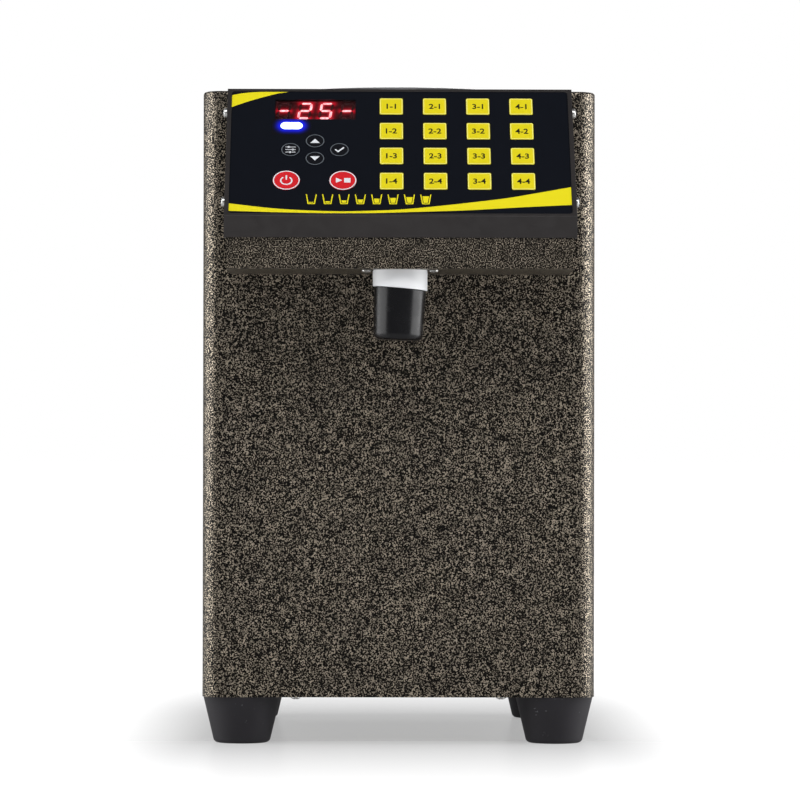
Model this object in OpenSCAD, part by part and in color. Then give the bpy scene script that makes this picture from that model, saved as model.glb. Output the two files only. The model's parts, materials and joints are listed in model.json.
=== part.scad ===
// Countertop syrup dispenser: a keypad head, a lidded tank and a metering gear pump in a sheet steel case.
// Millimetres. +X is to the right as seen from the front, the front faces -Y and +Z is up.
// The origin lies under the middle of the whole object, on the surface that it stands on.
// On the sloped face of the head, v runs down the slope from its top edge, and depth runs into the head.

/* [Case] */
// Width of the case
case_w = 240.8; // [230:0.1:270]
// Depth of the case, from front sheet to rear edge
case_d = 285; // [278:1:330]
// Height of the folded housing above the base plate
housing_h = 369; // [362:1:400]
// Thickness of the sheet steel
sheet_t = 1.2; // [0.8:0.1:1.5]
// Radius of the two upright front corners
corner_r = 12; // [6:1:16]
// Radius of the fold along the top edge
fold_r = 2; // [1.6:0.1:3]
// Thickness of the base plate
base_t = 2.5; // [2:0.1:4]
// Width of the flanges folded inwards at the housing's edges
flange_w = 12; // [10:1:15]

/* [Feet] */
// Height of a rubber foot
foot_h = 29; // [22:0.5:36]
// Diameter of a foot where it meets the base plate
foot_top_d = 48; // [42:1:52]
// Diameter of a foot where it meets the table
foot_bottom_d = 35; // [29:1:38]
// Radius of a foot's lower edge
foot_round = 3; // [1.5:0.5:4]

/* [Head] */
// Width of the bezel round the keypad
bezel_w = 209.5; // [209:0.5:218]
// Wall thickness of the bezel
bezel_wall = 1.5; // [1.2:0.1:2]
// How far the head stands out in front of the case
head_reach = 87.5; // [84:0.5:96]
// Depth of the flat strip on top of the bezel
brow_d = 14; // [11:0.5:16]
// Height that the sloped face falls through
face_drop = 81.1; // [79:0.1:90]
// Height of the bezel's upright lip under the sloped face
lip_h = 12.8; // [10:0.1:16]
// Height of the steel strip that shows under the lip
chin_h = 18.5; // [14:0.1:22]
// Depth of the bezel's side walls below the sloped face
bezel_side_d = 22; // [20:0.5:26]
// Width of the bezel's rim beside the overlay
rim_side = 2.7; // [2:0.1:3.5]
// Width of the bezel's rim above and below the overlay
rim_end = 2.2; // [1.6:0.1:3]

/* [Keypad] */
// Thickness of the printed overlay
overlay_t = 0.6; // [0.4:0.1:0.8]
// Thickness of the bezel's deck under the overlay
deck_t = 2; // [1.6:0.1:2.4]
// Side of a square dose key
dose_key_w = 14; // [12:0.5:15]
// Corner radius of a dose key
dose_key_r = 1; // [0.5:0.1:2]
// Spacing of the dose keys across the face
dose_pitch_x = 26.25; // [24:0.25:27]
// Spacing of the dose keys down the face
dose_pitch_v = 21.6; // [19:0.1:22.2]
// Place across the face of the first column of dose keys
dose_first_x = -5.2; // [-7:0.1:-4]
// Place down the face of the first row of dose keys
dose_first_v = 15.1; // [14:0.1:16]
// Diameter of a small round key
small_key_d = 11.3; // [10:0.1:11.8]
// Diameter of a large round key
large_key_d = 16.2; // [14:0.1:18]
// Place across the face of the middle of the display and of the round keys
cluster_x = -51.2; // [-53:0.1:-50]
// Place down the face of the middle of the four small keys
cluster_v = 53.1; // [52:0.1:54.5]
// Half the distance between the upper and lower small keys
cluster_dv = 7.55; // [7:0.05:8.5]
// Half the distance between the left and right small keys
cluster_dx = 14.7; // [14.2:0.1:16]
// Place down the face of the two large keys
large_key_v = 79.4; // [78:0.1:83]
// Half the distance between the two large keys
large_key_dx = 16.9; // [14:0.1:19]
// Travel of a key
key_travel = 0.5; // [0.3:0.05:0.8]
// How far a key stands above the overlay
key_proud = 0.2; // [0.1:0.05:0.3]
// Clearance round a key
key_gap = 0.2; // [0.1:0.05:0.3]
// Width of the lip that holds a key under the deck
key_lip = 1; // [0.6:0.1:1.2]

/* [Display] */
// Height of a digit
digit_h = 14.2; // [12:0.1:15]
// Width of a digit
digit_w = 8; // [7:0.1:9]
// Spacing of the digits
digit_pitch = 12.7; // [11.5:0.1:12.9]
// Width of a lit bar of a digit
bar_w = 1.5; // [1:0.1:1.8]
// Slant of the digits, in degrees
digit_slant = 8; // [0:1:12]
// Width of the display window
window_w = 48.5; // [47:0.5:50]
// Height of the display window
window_h = 17; // [16.5:0.1:18]
// Place down the face of the middle of the display
display_v = 17.8; // [17:0.1:18.5]
// Width of the LED module
module_w = 50.3; // [49:0.1:51.5]
// Height of the LED module
module_h = 18; // [17.2:0.1:18.8]
// Width of the indicator lamp
lamp_w = 13.4; // [11:0.1:14]
// Height of the indicator lamp
lamp_h = 6; // [5:0.1:6.4]
// Place across the face of the indicator lamp, left of the middle of the display
lamp_dx = 14.3; // [12:0.1:16]
// Place down the face of the indicator lamp
lamp_v = 32.2; // [32:0.1:33.5]

/* [Tank] */
// Outer diameter of the tank
tank_d = 190; // [170:1:196]
// Height of the room for the pump between the base plate and the tank
pump_room = 169; // [163:1:189]
// Wall thickness of the tank
tank_wall = 1; // [0.8:0.1:1.2]
// Width of the tank's flange on top of the case
tank_flange_w = 6; // [4:0.5:8]
// How far the lid reaches past the tank, all round
lid_overhang = 2; // [1:0.1:4]
// Height of the lid's crown above the top of the case
lid_crown = 10.8; // [9.6:0.1:14]
// Radius of the lid's gentle dome
lid_dome_r = 1000; // [900:10:2000]
// Radius of the lid's shoulder
lid_shoulder_r = 3; // [2:0.5:3.5]
// Diameter of the finger dish in the lid
dish_d = 56; // [50:1:60]
// Depth of the finger dish below the lid's crown
dish_depth = 17; // [15:0.5:20]
// Length of the grip bar
grip_len = 72; // [70:1:80]
// Length of the grip's flat top
grip_flat = 41; // [36:1:48]
// Width of the grip bar
grip_w = 16; // [12:1:20]
// Thickness of the grip bar over the dish
grip_t = 6; // [5:0.5:8]
// Height of the grip's flat top above the lid's crown
grip_rise = 2; // [1.5:0.1:3]

/* [Pump and hoses] */
// Number of teeth on each pump gear
gear_teeth = 12; // [10:1:14]
// Size of the gear teeth, pitch diameter over number of teeth
gear_module = 2; // [1.7:0.1:2.1]
// Width of the gears
gear_w = 16; // [12:1:20]
// Diameter of the gear shafts
shaft_d = 6; // [5:0.5:7]
// Diameter of the pump motor
motor_d = 36; // [32:1:40]
// Length of the pump motor
motor_len = 60; // [50:1:64]
// Height of the pump shafts above the base plate
pump_axis_h = 79; // [76:1:84]
// Outer diameter of the hoses
hose_od = 13; // [12:0.5:14]
// Bore of the hoses
hose_id = 9; // [8:0.5:10]
// Radius of the hose bends
hose_bend = 16; // [15:0.5:17]
// Height of the delivery hose's level run below the top of the case
hose_drop = 82; // [80:0.5:84]

/* [Nozzle] */
// How far the nozzle's axis stands in front of the case
nozzle_reach = 64; // [58:0.5:66]
// Diameter of the nozzle's collar
collar_d = 32.7; // [30:0.1:34]
// Height of the nozzle's collar, at its middle
collar_h = 11; // [8:0.1:13]
// Slant of the joint between collar and cap, in degrees
collar_slant = 5.1; // [0:0.1:8]
// Diameter of the cap at its top
cap_top_d = 31.7; // [29:0.1:32.5]
// Diameter of the cap at its bottom
cap_bottom_d = 29.5; // [27:0.1:31]
// Height of the cap below the collar, at its middle
cap_h = 31; // [24:0.5:34]
// Lean of the cap to the left, in degrees
cap_lean = 2.4; // [0:0.1:4]
// Radius of the cap's lower edge
cap_round = 4; // [2:0.5:5]
// Diameter of the spout inside the cap
spout_d = 22; // [18:0.5:24]
// Distance of the nozzle screws from the nozzle's axis
nozzle_screw_x = 20.1; // [19.5:0.1:23]

/* [Electrics] */
// Width of the mains inlet's body
inlet_w = 27; // [27:0.5:28]
// Height of the mains inlet's body
inlet_h = 19.5; // [19.5:0.5:20.5]
// Distance of the mains inlet and the switch from the case's right side
inlet_side = 50; // [46:1:60]
// Height of the mains inlet above the base plate
inlet_z = 44; // [36:1:50]
// Height of the switch above the mains inlet
switch_rise = 37; // [30:1:44]
// Angle of the rocker either way from level, in degrees
rocker_angle = 10; // [6:1:12]

/* [Hidden] */
$fn = 64;
clear = 0.1;
play = 0.05;
sink = 0.01;
hull_fn = 32;

case_bottom = foot_h;
housing_bottom = case_bottom + base_t;
case_top = housing_bottom + housing_h;

// The rocker is the rearmost piece, and the whole depth sets where the origin lies.
rocker_nose_y = 3;
rocker_nose_z = 7.4;
rocker_pivot_out = 0.5;
rear_reach = rocker_pivot_out + rocker_nose_y * cos(rocker_angle) + rocker_nose_z * sin(rocker_angle);
grid = 0.01;
front_y = grid * round((head_reach - case_d - rear_reach) / 2 / grid);
rear_y = front_y + case_d;

// Heights of the head, and the tilt of its face from level.
head_w = bezel_w - 2 * bezel_wall;
face_run = head_reach - brow_d;
face_len = norm([face_run, face_drop]);
face_tilt = atan2(face_drop, face_run);
lip_top = case_top - face_drop;
lip_bottom = lip_top - lip_h;
head_bottom = lip_bottom - chin_h;
chin_reach = head_reach - bezel_wall;

// Layers of the keypad, as depths below the bezel's rim.
overlay_depth = 0.3;
deck_top = overlay_depth + overlay_t;
deck_bottom = deck_top + deck_t;
key_top = overlay_depth - key_proud;
key_lip_t = 0.8;
key_lip_top = deck_bottom + clear;
stem_d = 4;
stem_end = key_lip_top + key_lip_t + 1.2;
switch_top = stem_end + key_travel + play;
switch_h = 4.3;
board_top = switch_top + switch_h;
board_t = 1.6;
board_bottom = board_top + board_t;
overlay_w = bezel_w - 2 * rim_side;
overlay_len = face_len - 2 * rim_end;
overlay_r = 2;
board_inset = 3;
boss_inset = 6;
boss_d = 6;
stake_d = 3;
window_flange = 2.7;
window_flange_v = 0.8;
window_flange_t = 1;
bars_depth = deck_top + window_flange_t + clear;
bars_t = 0.2;
bar_gap = 0.35;

// Screws: head diameter, head height, shank diameter.
screw_head_d = 6.1;
screw_head_h = 1.7;
bright_head_h = 2.85;
shank_d = 3;
shank_len = 6;
screw_hole_d = shank_d + 2 * clear;
nozzle_screw_head_d = 5.8;
inlet_screw_head_d = 5.5;
base_screw_x = 63;
base_screw_inset = 7;
cover_screw_inset = 20;
foot_x = (case_w - foot_top_d) / 2;
foot_front_y = front_y + foot_top_d / 2;
foot_rear_y = rear_y - foot_top_d / 2;
foot_shank_d = 4;
foot_pocket_d = 12;
foot_pocket_h = 8;

// Tank, lid and grip.
tank_y = front_y + case_d / 2;
tank_r = tank_d / 2;
tank_bottom = housing_bottom + pump_room;
tank_depth = case_top - tank_bottom;
tank_flange_t = 1.2;
lid_d = tank_d + 2 * lid_overhang;
seal_t = 1;
lid_t = 1;
lid_bottom = case_top + tank_flange_t + seal_t;
lid_top = case_top + lid_crown;
dish_bottom = lid_top - dish_depth;
stud_d = 4;
stud_x = (dish_d / 2 + grip_len / 2) / 2;

// Pump: two equal gears side by side, turning about axes along Y.
pitch_r = gear_module * gear_teeth / 2;
pressure = 25;
base_r = pitch_r * cos(pressure);
tip_r = pitch_r + 0.8 * gear_module;
root_r = pitch_r - 1.1 * gear_module;
backlash = 0.3;
tooth_t = PI * gear_module / 2 - backlash;
pump_z = housing_bottom + pump_axis_h;
pump_wall = 8;
chamber_r = tip_r + 0.25;
chamber_front = tank_y - gear_w / 2;
chamber_back = tank_y + gear_w / 2;
pump_back = chamber_back + pump_wall;
pump_front = chamber_front - pump_wall;
pump_side_wall = 6;
pump_half_w = pitch_r + chamber_r + pump_side_wall;
pump_half_h = chamber_r + 2 * pump_wall;
bearing_depth = 4;
leg_w = 10;
motor_shaft_depth = motor_len / 5;
port_d = hose_id - 2;
barb_d = hose_id - 2 * play;
barb_len = 14;
hose_grip = barb_len - 2;
spigot_t = 2;

// Route of the hoses, in the plane X = 0.
suction_low = pump_z + pump_half_h + barb_len - hose_grip;
suction_high = tank_bottom - spigot_t - barb_len + hose_grip;
outlet_top = pump_z - pump_half_h - barb_len + hose_grip;
low_run_gap = 4;
low_run_z = pump_z - pump_half_h - barb_len - low_run_gap - hose_bend;
riser_gap = 14;
riser_y = front_y + sheet_t + hose_od / 2 + riser_gap;
high_run_z = case_top - hose_drop;
nozzle_y = front_y - nozzle_reach;
nozzle_flange_t = 3;
nozzle_flange_top = head_bottom + sheet_t + nozzle_flange_t;
nozzle_barb_top = high_run_z - hose_bend - clear;
collar_bottom = head_bottom - collar_h;
cap_bottom = collar_bottom - cap_h;
cap_floor = 3;
cap_gap = 0.3;

// Electrics.
inlet_x = case_w / 2 - inlet_side;
inlet_face_z = housing_bottom + inlet_z;
switch_z = inlet_face_z + switch_rise;
inlet_flange_t = 2.5;
inlet_flange_w = inlet_w + 23;
inlet_flange_h = inlet_h + 3;
inlet_depth = 20;
inlet_screw_dx = 20;
pin_recess = 5;
frame_t = 2;
frame_wall = 1.2;
rocker_half = 8;
rocker_w = 9.6;
rocker_room = 0.4;
frame_depth = 14;
trunnion_d = 2.4;
trunnion_out = 0.5;
unit_gap = 8;
unit_y = front_y + 80;
supply_size = [60, 100, 35];
supply_at = [unit_gap - case_w / 2, unit_y, housing_bottom];
circuit_size = [66, 110, 1.6];
circuit_at = [case_w / 2 - unit_gap - circuit_size[0], unit_y, housing_bottom];
standoff_h = 6;

// ---- Helpers ----

// Height and reach of a line parallel to the sloped face, at a depth below it.
function face_z(reach, depth) =
    case_top - (reach - brow_d) * face_drop / face_run - depth / cos(face_tilt);
function face_reach(z, depth) =
    brow_d + (case_top - z - depth / cos(face_tilt)) * face_run / face_drop;

// Draws children in the frame of the sloped face: x across, y up the slope, z out of it.
module on_face() {
    translate([0, front_y - brow_d, case_top])
        rotate([face_tilt, 0, 0])
            children();
}

// Extrudes a side outline, given as reach in front of the case and height, across a width.
module across(width) {
    translate([0, front_y, 0])
        rotate([90, 0, -90])
            linear_extrude(height = width, center = true)
                children();
}

// A slab on the face between two depths.
module layer(top, bottom) {
    translate([0, 0, -bottom])
        linear_extrude(height = bottom - top)
            children();
}

module rounded_rect(w, h, r) {
    square([w - 2 * r, h], center = true);
    square([w, h - 2 * r], center = true);
    for (sx = [-1, 1], sy = [-1, 1])
        translate([sx * (w / 2 - r), sy * (h / 2 - r)])
            circle(r, $fn = hull_fn);
}

module at_dose_key(col, row) {
    x = dose_first_x + (col - 1) * dose_pitch_x;
    v = dose_first_v + (row - 1) * dose_pitch_v;
    translate([x, -v, 0])
        children();
}

small_key_places = [
    [cluster_x, cluster_v - cluster_dv],
    [cluster_x, cluster_v + cluster_dv],
    [cluster_x - cluster_dx, cluster_v],
    [cluster_x + cluster_dx, cluster_v]
];
large_key_places = [
    [cluster_x - large_key_dx, large_key_v],
    [cluster_x + large_key_dx, large_key_v]
];

module at_place(place) {
    translate([place[0], -place[1], 0])
        children();
}

// Draws children at every key, with square caps first and round ones after.
module at_every_key() {
    for (col = [1:4], row = [1:4])
        at_dose_key(col, row) children();
    for (place = concat(small_key_places, large_key_places))
        at_place(place) children();
}

// A pan head screw along +Z, its head's seat at z = 0 and its shank below.
module pan_screw(head_d, head_h, shank, length) {
    crown_r = head_d * 0.8;
    slot_len = head_d * 0.6;
    slot_w = head_d * 0.16;
    slot_floor = head_h * 0.45;
    difference() {
        intersection() {
            cylinder(d = head_d, h = head_h);
            translate([0, 0, head_h - crown_r])
                sphere(r = crown_r);
        }
        for (turn = [0, 90])
            rotate(turn)
                translate([-slot_len / 2, -slot_w / 2, slot_floor])
                    cube([slot_len, slot_w, head_h]);
    }
    translate([0, 0, -length])
        cylinder(d = shank, h = length + sink, $fn = hull_fn);
}

// ---- Case ----

// The case seen from above, drawn in by an inset, with round front corners.
module case_outline(inset) {
    r = corner_r - inset;
    half = case_w / 2 - inset;
    front = front_y + inset;
    translate([-half, front + r])
        square([2 * half, rear_y - front - r]);
    translate([-half + r, front])
        square([2 * (half - r), 2 * r]);
    for (side = [-1, 1])
        translate([side * (half - r), front + r])
            circle(r);
}

// A wall's outline with its outer top corner rounded, from the middle of the case to a half width.
module folded_profile(half) {
    square([half - fold_r, housing_h]);
    square([half, housing_h - fold_r]);
    translate([half - fold_r, housing_h - fold_r])
        circle(fold_r, $fn = hull_fn);
}

// The solid that the folded sheet wraps, with its top edges rounded.
module case_block() {
    half = case_w / 2;
    translate([0, 0, housing_bottom]) {
        for (side = [0, 1])
            mirror([side, 0, 0]) {
                translate([0, rear_y, 0])
                    rotate([90, 0, 0])
                        linear_extrude(height = case_d - corner_r)
                            folded_profile(half);
                translate([half - corner_r, front_y + corner_r, 0])
                    rotate([0, 0, -90])
                        rotate_extrude(angle = 90)
                            folded_profile(corner_r);
            }
        translate([corner_r - half, front_y + corner_r, 0])
            rotate([90, 0, 90])
                linear_extrude(height = case_w - 2 * corner_r)
                    mirror([1, 0])
                        folded_profile(corner_r);
    }
}

module at_base_screws() {
    for (side = [-1, 1], y = [front_y + base_screw_inset, rear_y - 2 * sheet_t - base_screw_inset])
        translate([side * base_screw_x, y, 0])
            children();
}

module at_feet() {
    for (side = [-1, 1], y = [foot_front_y, foot_rear_y])
        translate([side * foot_x, y, 0])
            children();
}

module at_cover_screws() {
    inset = sheet_t + flange_w / 2;
    lowest = housing_bottom + cover_screw_inset;
    highest = case_top - cover_screw_inset;
    heights = [lowest, (lowest + highest) / 2, highest];
    for (side = [-1, 1], z = heights)
        translate([side * (case_w / 2 - inset), rear_y, z])
            rotate([-90, 0, 0])
                children();
}

module housing() {
    inner_w = case_w - 2 * sheet_t;
    seat_y = rear_y - 2 * sheet_t;
    head_hole_w = head_w - 4 * flange_w;
    color([0.27, 0.25, 0.21]) {
        difference() {
            case_block();
            translate([0, 0, housing_bottom - 1])
                linear_extrude(height = housing_h - sheet_t + 1)
                    case_outline(sheet_t);
            translate([-inner_w / 2, rear_y - 1, housing_bottom - 1])
                cube([inner_w, 2, housing_h - sheet_t + 1]);
            translate([0, tank_y, case_top - 2 * sheet_t])
                cylinder(r = tank_r + clear, h = 3 * sheet_t, $fn = 128);
            translate([-head_hole_w / 2, front_y - 1, head_bottom + flange_w])
                cube([head_hole_w, sheet_t + 2, case_top - head_bottom - 2 * flange_w]);
        }
        // Flanges that the rear cover lies against.
        difference() {
            translate([-inner_w / 2, seat_y, housing_bottom])
                cube([inner_w, sheet_t, housing_h - sheet_t]);
            translate([-inner_w / 2 + flange_w, seat_y - 1, housing_bottom + flange_w])
                cube([inner_w - 2 * flange_w, sheet_t + 2, housing_h - sheet_t - 2 * flange_w]);
            at_cover_screws()
                cylinder(d = screw_hole_d, h = 8 * sheet_t, center = true);
        }
        // Flanges that the base plate's screws go up into.
        difference() {
            for (y = [front_y + sheet_t, seat_y - flange_w])
                translate([-inner_w / 2 + corner_r, y, housing_bottom])
                    cube([inner_w - 2 * corner_r, flange_w, sheet_t]);
            at_base_screws()
                translate([0, 0, housing_bottom - 1])
                    cylinder(d = screw_hole_d, h = sheet_t + 2);
        }
    }
}

module rear_cover() {
    cover_w = case_w - 2 * sheet_t - 4 * clear;
    cover_h = housing_h - sheet_t - 4 * clear;
    slot_len = 36;
    slot_w = 3;
    slot_pitch = 8;
    slot_rows = 8;
    slot_cols = 3;
    slot_gap = 14;
    top_slot_z = case_top - 60;
    color([0.27, 0.25, 0.21])
        difference() {
            translate([-cover_w / 2, rear_y - sheet_t, housing_bottom + 2 * clear])
                cube([cover_w, sheet_t, cover_h]);
            at_cover_screws()
                cylinder(d = screw_hole_d, h = 8 * sheet_t, center = true);
            for (col = [0:slot_cols - 1], row = [0:slot_rows - 1]) {
                x = (col - (slot_cols - 1) / 2) * (slot_len + slot_gap);
                z = top_slot_z - row * slot_pitch;
                translate([x, rear_y, z])
                    rotate([90, 0, 0])
                        linear_extrude(height = 4 * sheet_t, center = true)
                            rounded_rect(slot_len, slot_w, slot_w / 2 - sink);
            }
            translate([inlet_x, rear_y, inlet_face_z])
                cube([inlet_w + 2 * clear, 4 * sheet_t, inlet_h + 2 * clear], center = true);
            for (side = [-1, 1])
                translate([inlet_x + side * inlet_screw_dx, rear_y, inlet_face_z])
                    rotate([90, 0, 0])
                        cylinder(d = screw_hole_d, h = 4 * sheet_t, center = true);
            translate([inlet_x, rear_y, switch_z])
                cube([frame_inner_w() + 2 * frame_wall + 2 * clear, 4 * sheet_t,
                      frame_inner_h() + 2 * frame_wall + 2 * clear], center = true);
        }
}

module base_plate() {
    color([0.27, 0.25, 0.21])
        difference() {
            translate([0, 0, case_bottom])
                linear_extrude(height = base_t)
                    case_outline(0);
            at_base_screws()
                translate([0, 0, case_bottom - 1])
                    cylinder(d = screw_hole_d, h = base_t + 2);
            at_feet()
                translate([0, 0, case_bottom - 1])
                    cylinder(d = foot_shank_d + 2 * clear, h = base_t + 2);
        }
}

module foot() {
    top_r = foot_top_d / 2;
    ring_r = foot_bottom_d / 2 - foot_round + 0.2;
    flank = atan2(top_r - ring_r - foot_round, foot_h - foot_round);
    difference() {
        rotate_extrude() {
            polygon([
                [0, 0], [ring_r, 0], [ring_r, foot_round],
                [ring_r + foot_round * cos(flank), foot_round * (1 - sin(flank))],
                [top_r, foot_h], [0, foot_h]
            ]);
            intersection() {
                translate([ring_r, foot_round])
                    circle(foot_round);
                square([top_r, foot_round]);
            }
        }
        translate([0, 0, -1])
            cylinder(d = foot_pocket_d, h = foot_pocket_h + 1);
        cylinder(d = foot_shank_d + 2 * clear, h = foot_h + 1);
    }
}

module feet() {
    color([0.16, 0.16, 0.17])
        at_feet()
            foot();
}

module foot_screws() {
    nut_d = 8;
    nut_h = 3.2;
    head_d = 8;
    head_h = 2.6;
    shank_len = housing_bottom - foot_pocket_h;
    color([0.7, 0.7, 0.7])
        at_feet() {
            translate([0, 0, foot_pocket_h])
                rotate([180, 0, 0])
                    pan_screw(head_d, head_h, foot_shank_d, shank_len + nut_h);
            translate([0, 0, housing_bottom])
                cylinder(d = nut_d, h = nut_h, $fn = 6);
        }
}

module case_screws() {
    color([0.55, 0.55, 0.55]) {
        at_base_screws()
            translate([0, 0, case_bottom])
                rotate([180, 0, 0])
                    pan_screw(screw_head_d, screw_head_h, shank_d, base_t + sheet_t + 2);
        at_cover_screws()
            pan_screw(screw_head_d, screw_head_h, shank_d, shank_len);
        for (side = [-1, 1])
            translate([inlet_x + side * inlet_screw_dx, rear_y + inlet_flange_t, inlet_face_z])
                rotate([-90, 0, 0])
                    pan_screw(inlet_screw_head_d, screw_head_h, shank_d, shank_len);
    }
}

// ---- Head ----

module head_outline() {
    top = case_top - bezel_wall - clear;
    edge = deck_bottom + clear;
    polygon([
        [0, head_bottom], [chin_reach, head_bottom], [chin_reach, face_z(chin_reach, edge)],
        [face_reach(top, edge), top], [0, top]
    ]);
}

module at_bezel_screws() {
    // Reach and height of each screw on the side of the bezel.
    upper = [brow_d + 4, case_top - 15];
    lower = [brow_d + 46, lip_top + 9.6];
    for (side = [-1, 1], place = [upper, lower])
        translate([side * bezel_w / 2, front_y - place[0], place[1]])
            rotate([0, side * 90, 0])
                children();
}

module at_nozzle_screws() {
    for (side = [-1, 1])
        translate([side * nozzle_screw_x, nozzle_y, head_bottom])
            rotate([180, 0, 0])
                children();
}

module head_box() {
    inner_w = head_w - 2 * sheet_t;
    color([0.27, 0.25, 0.21])
        difference() {
            union() {
                for (side = [-1, 1])
                    translate([side * (head_w - sheet_t) / 2, 0, 0])
                        across(sheet_t)
                            head_outline();
                intersection() {
                    across(head_w)
                        head_outline();
                    union() {
                        translate([-head_w / 2, front_y - chin_reach, head_bottom])
                            cube([head_w, chin_reach, sheet_t]);
                        translate([-head_w / 2, front_y - chin_reach, head_bottom])
                            cube([head_w, sheet_t, case_top - head_bottom]);
                        for (side = [-1, 1]) {
                            flange_x = side * (head_w - flange_w) / 2 - flange_w / 2;
                            translate([flange_x, front_y - sheet_t, head_bottom])
                                cube([flange_w, sheet_t, case_top - head_bottom]);
                        }
                    }
                }
            }
            translate([0, nozzle_y, head_bottom - 1])
                cylinder(d = spout_d + 4 * clear, h = sheet_t + 2);
            at_nozzle_screws()
                cylinder(d = screw_hole_d, h = 8 * sheet_t, center = true);
            at_bezel_screws()
                cylinder(d = screw_hole_d, h = 4 * (bezel_wall + sheet_t), center = true);
        }
}

// Holes for the keys, through whatever lies between two depths.
module key_holes(top, bottom) {
    for (col = [1:4], row = [1:4])
        at_dose_key(col, row)
            layer(top, bottom)
                rounded_rect(dose_key_w + 2 * key_gap, dose_key_w + 2 * key_gap, dose_key_r + key_gap);
    for (place = small_key_places)
        at_place(place)
            layer(top, bottom)
                circle(d = small_key_d + 2 * key_gap);
    for (place = large_key_places)
        at_place(place)
            layer(top, bottom)
                circle(d = large_key_d + 2 * key_gap);
    at_lamp()
        layer(top, bottom)
            pill(lamp_w + 2 * clear, lamp_h + 2 * clear);
}

module pill(w, h) {
    square([w - h, h], center = true);
    for (side = [-1, 1])
        translate([side * (w - h) / 2, 0])
            circle(d = h, $fn = hull_fn);
}

module at_display() {
    at_place([cluster_x, display_v]) children();
}

module at_lamp() {
    at_place([cluster_x - lamp_dx, lamp_v]) children();
}

module at_face_middle() {
    at_place([0, face_len / 2]) children();
}

module at_bosses() {
    dx = (overlay_w - 2 * boss_inset - 2 * board_inset) / 2;
    dv = (overlay_len - 2 * boss_inset) / 2;
    at_face_middle()
        for (sx = [-1, 1], sy = [-1, 1])
            translate([sx * dx, sy * dv, 0])
                children();
}

module panel_bezel() {
    skin_top = case_top - bezel_wall;
    lip_back = face_reach(lip_bottom, bezel_side_d);
    pocket_w = window_w + 2 * (window_flange + clear);
    pocket_h = window_h + 2 * (window_flange_v + clear);
    color([0.3, 0.28, 0.29])
        difference() {
            union() {
                for (side = [-1, 1])
                    translate([side * (bezel_w - bezel_wall) / 2, 0, 0])
                        across(bezel_wall)
                            polygon([
                                [0, case_top], [brow_d, case_top], [head_reach, lip_top],
                                [head_reach, lip_bottom], [lip_back, lip_bottom],
                                [0, face_z(0, bezel_side_d)]
                            ]);
                across(bezel_w)
                    polygon([
                        [0, case_top], [brow_d, case_top], [head_reach, lip_top], [head_reach, lip_bottom],
                        [chin_reach, lip_bottom], [chin_reach, face_z(chin_reach, deck_bottom)],
                        [face_reach(skin_top, deck_bottom), skin_top], [0, skin_top]
                    ]);
                on_face()
                    at_bosses() {
                        layer(deck_bottom - clear, board_top)
                            circle(d = boss_d);
                        layer(deck_bottom, board_bottom + 1)
                            circle(d = stake_d);
                    }
            }
            on_face() {
                at_face_middle()
                    layer(-1, deck_top)
                        rounded_rect(overlay_w + 2 * clear, overlay_len + 2 * clear, overlay_r);
                key_holes(0, deck_bottom + 1);
                at_display() {
                    layer(0, deck_top + window_flange_t + clear)
                        square([pocket_w, pocket_h], center = true);
                    layer(0, deck_bottom + 1)
                        square([module_w + 4 * clear, module_h + 4 * clear], center = true);
                }
            }
            at_bezel_screws()
                cylinder(d = screw_hole_d, h = 4 * (bezel_wall + sheet_t), center = true);
        }
}

module head_screws() {
    color([0.85, 0.85, 0.85]) {
        at_bezel_screws()
            pan_screw(screw_head_d, bright_head_h, shank_d, shank_len);
        at_nozzle_screws()
            pan_screw(nozzle_screw_head_d, screw_head_h, shank_d, sheet_t + nozzle_flange_t);
    }
}

module panel_overlay() {
    color([0.09, 0.09, 0.12])
        on_face()
            difference() {
                at_face_middle()
                    layer(overlay_depth, deck_top)
                        rounded_rect(overlay_w, overlay_len, overlay_r);
                key_holes(0, deck_top + 1);
                at_display()
                    layer(0, deck_top + 1)
                        square([window_w + 2 * clear, window_h + 2 * clear], center = true);
            }
}

module display_window() {
    color([0.2, 0.02, 0.03])
        on_face()
            at_display() {
                layer(overlay_depth, deck_top)
                    square([window_w, window_h], center = true);
                layer(deck_top, deck_top + window_flange_t)
                    square([window_w + 2 * window_flange, window_h + 2 * window_flange_v], center = true);
            }
}

module display_module() {
    color([0.05, 0.05, 0.05])
        on_face()
            at_display()
                layer(bars_depth + bars_t, board_top)
                    square([module_w, module_h], center = true);
}

// One bar of a digit, centred at the origin before it is moved and slanted.
module digit_bar(middle, length, upright) {
    half = length / 2;
    t = bar_w / 2;
    level = [[-half, 0], [-half + t, t], [half - t, t], [half, 0], [half - t, -t], [-half + t, -t]];
    polygon([
        for (p = level)
            let (q = upright ? [p[1], p[0]] : p, y = q[1] + middle[1])
                [q[0] + middle[0] + y * tan(digit_slant), y]
    ]);
}

// Draws bars number 0 to 6 of one digit: top, two right, bottom, two left, middle.
module digit(bars) {
    dx = (digit_w - bar_w) / 2;
    dy = (digit_h - bar_w) / 2;
    middles = [[0, dy], [dx, dy / 2], [dx, -dy / 2], [0, -dy], [-dx, -dy / 2], [-dx, dy / 2], [0, 0]];
    for (bar = bars) {
        upright = bar % 3 != 0;
        digit_bar(middles[bar], (upright ? dy : 2 * dx) - 2 * bar_gap, upright);
    }
}

// The bars that are lit in each of the four digits: a dash, a two, a five and a dash.
lit_bars = [[6], [0, 1, 6, 4, 3], [0, 5, 6, 2, 3], [6]];
all_bars = [0, 1, 2, 3, 4, 5, 6];

function missing(bars) = [for (bar = all_bars) if (len(search(bar, bars)) == 0) bar];

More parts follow.
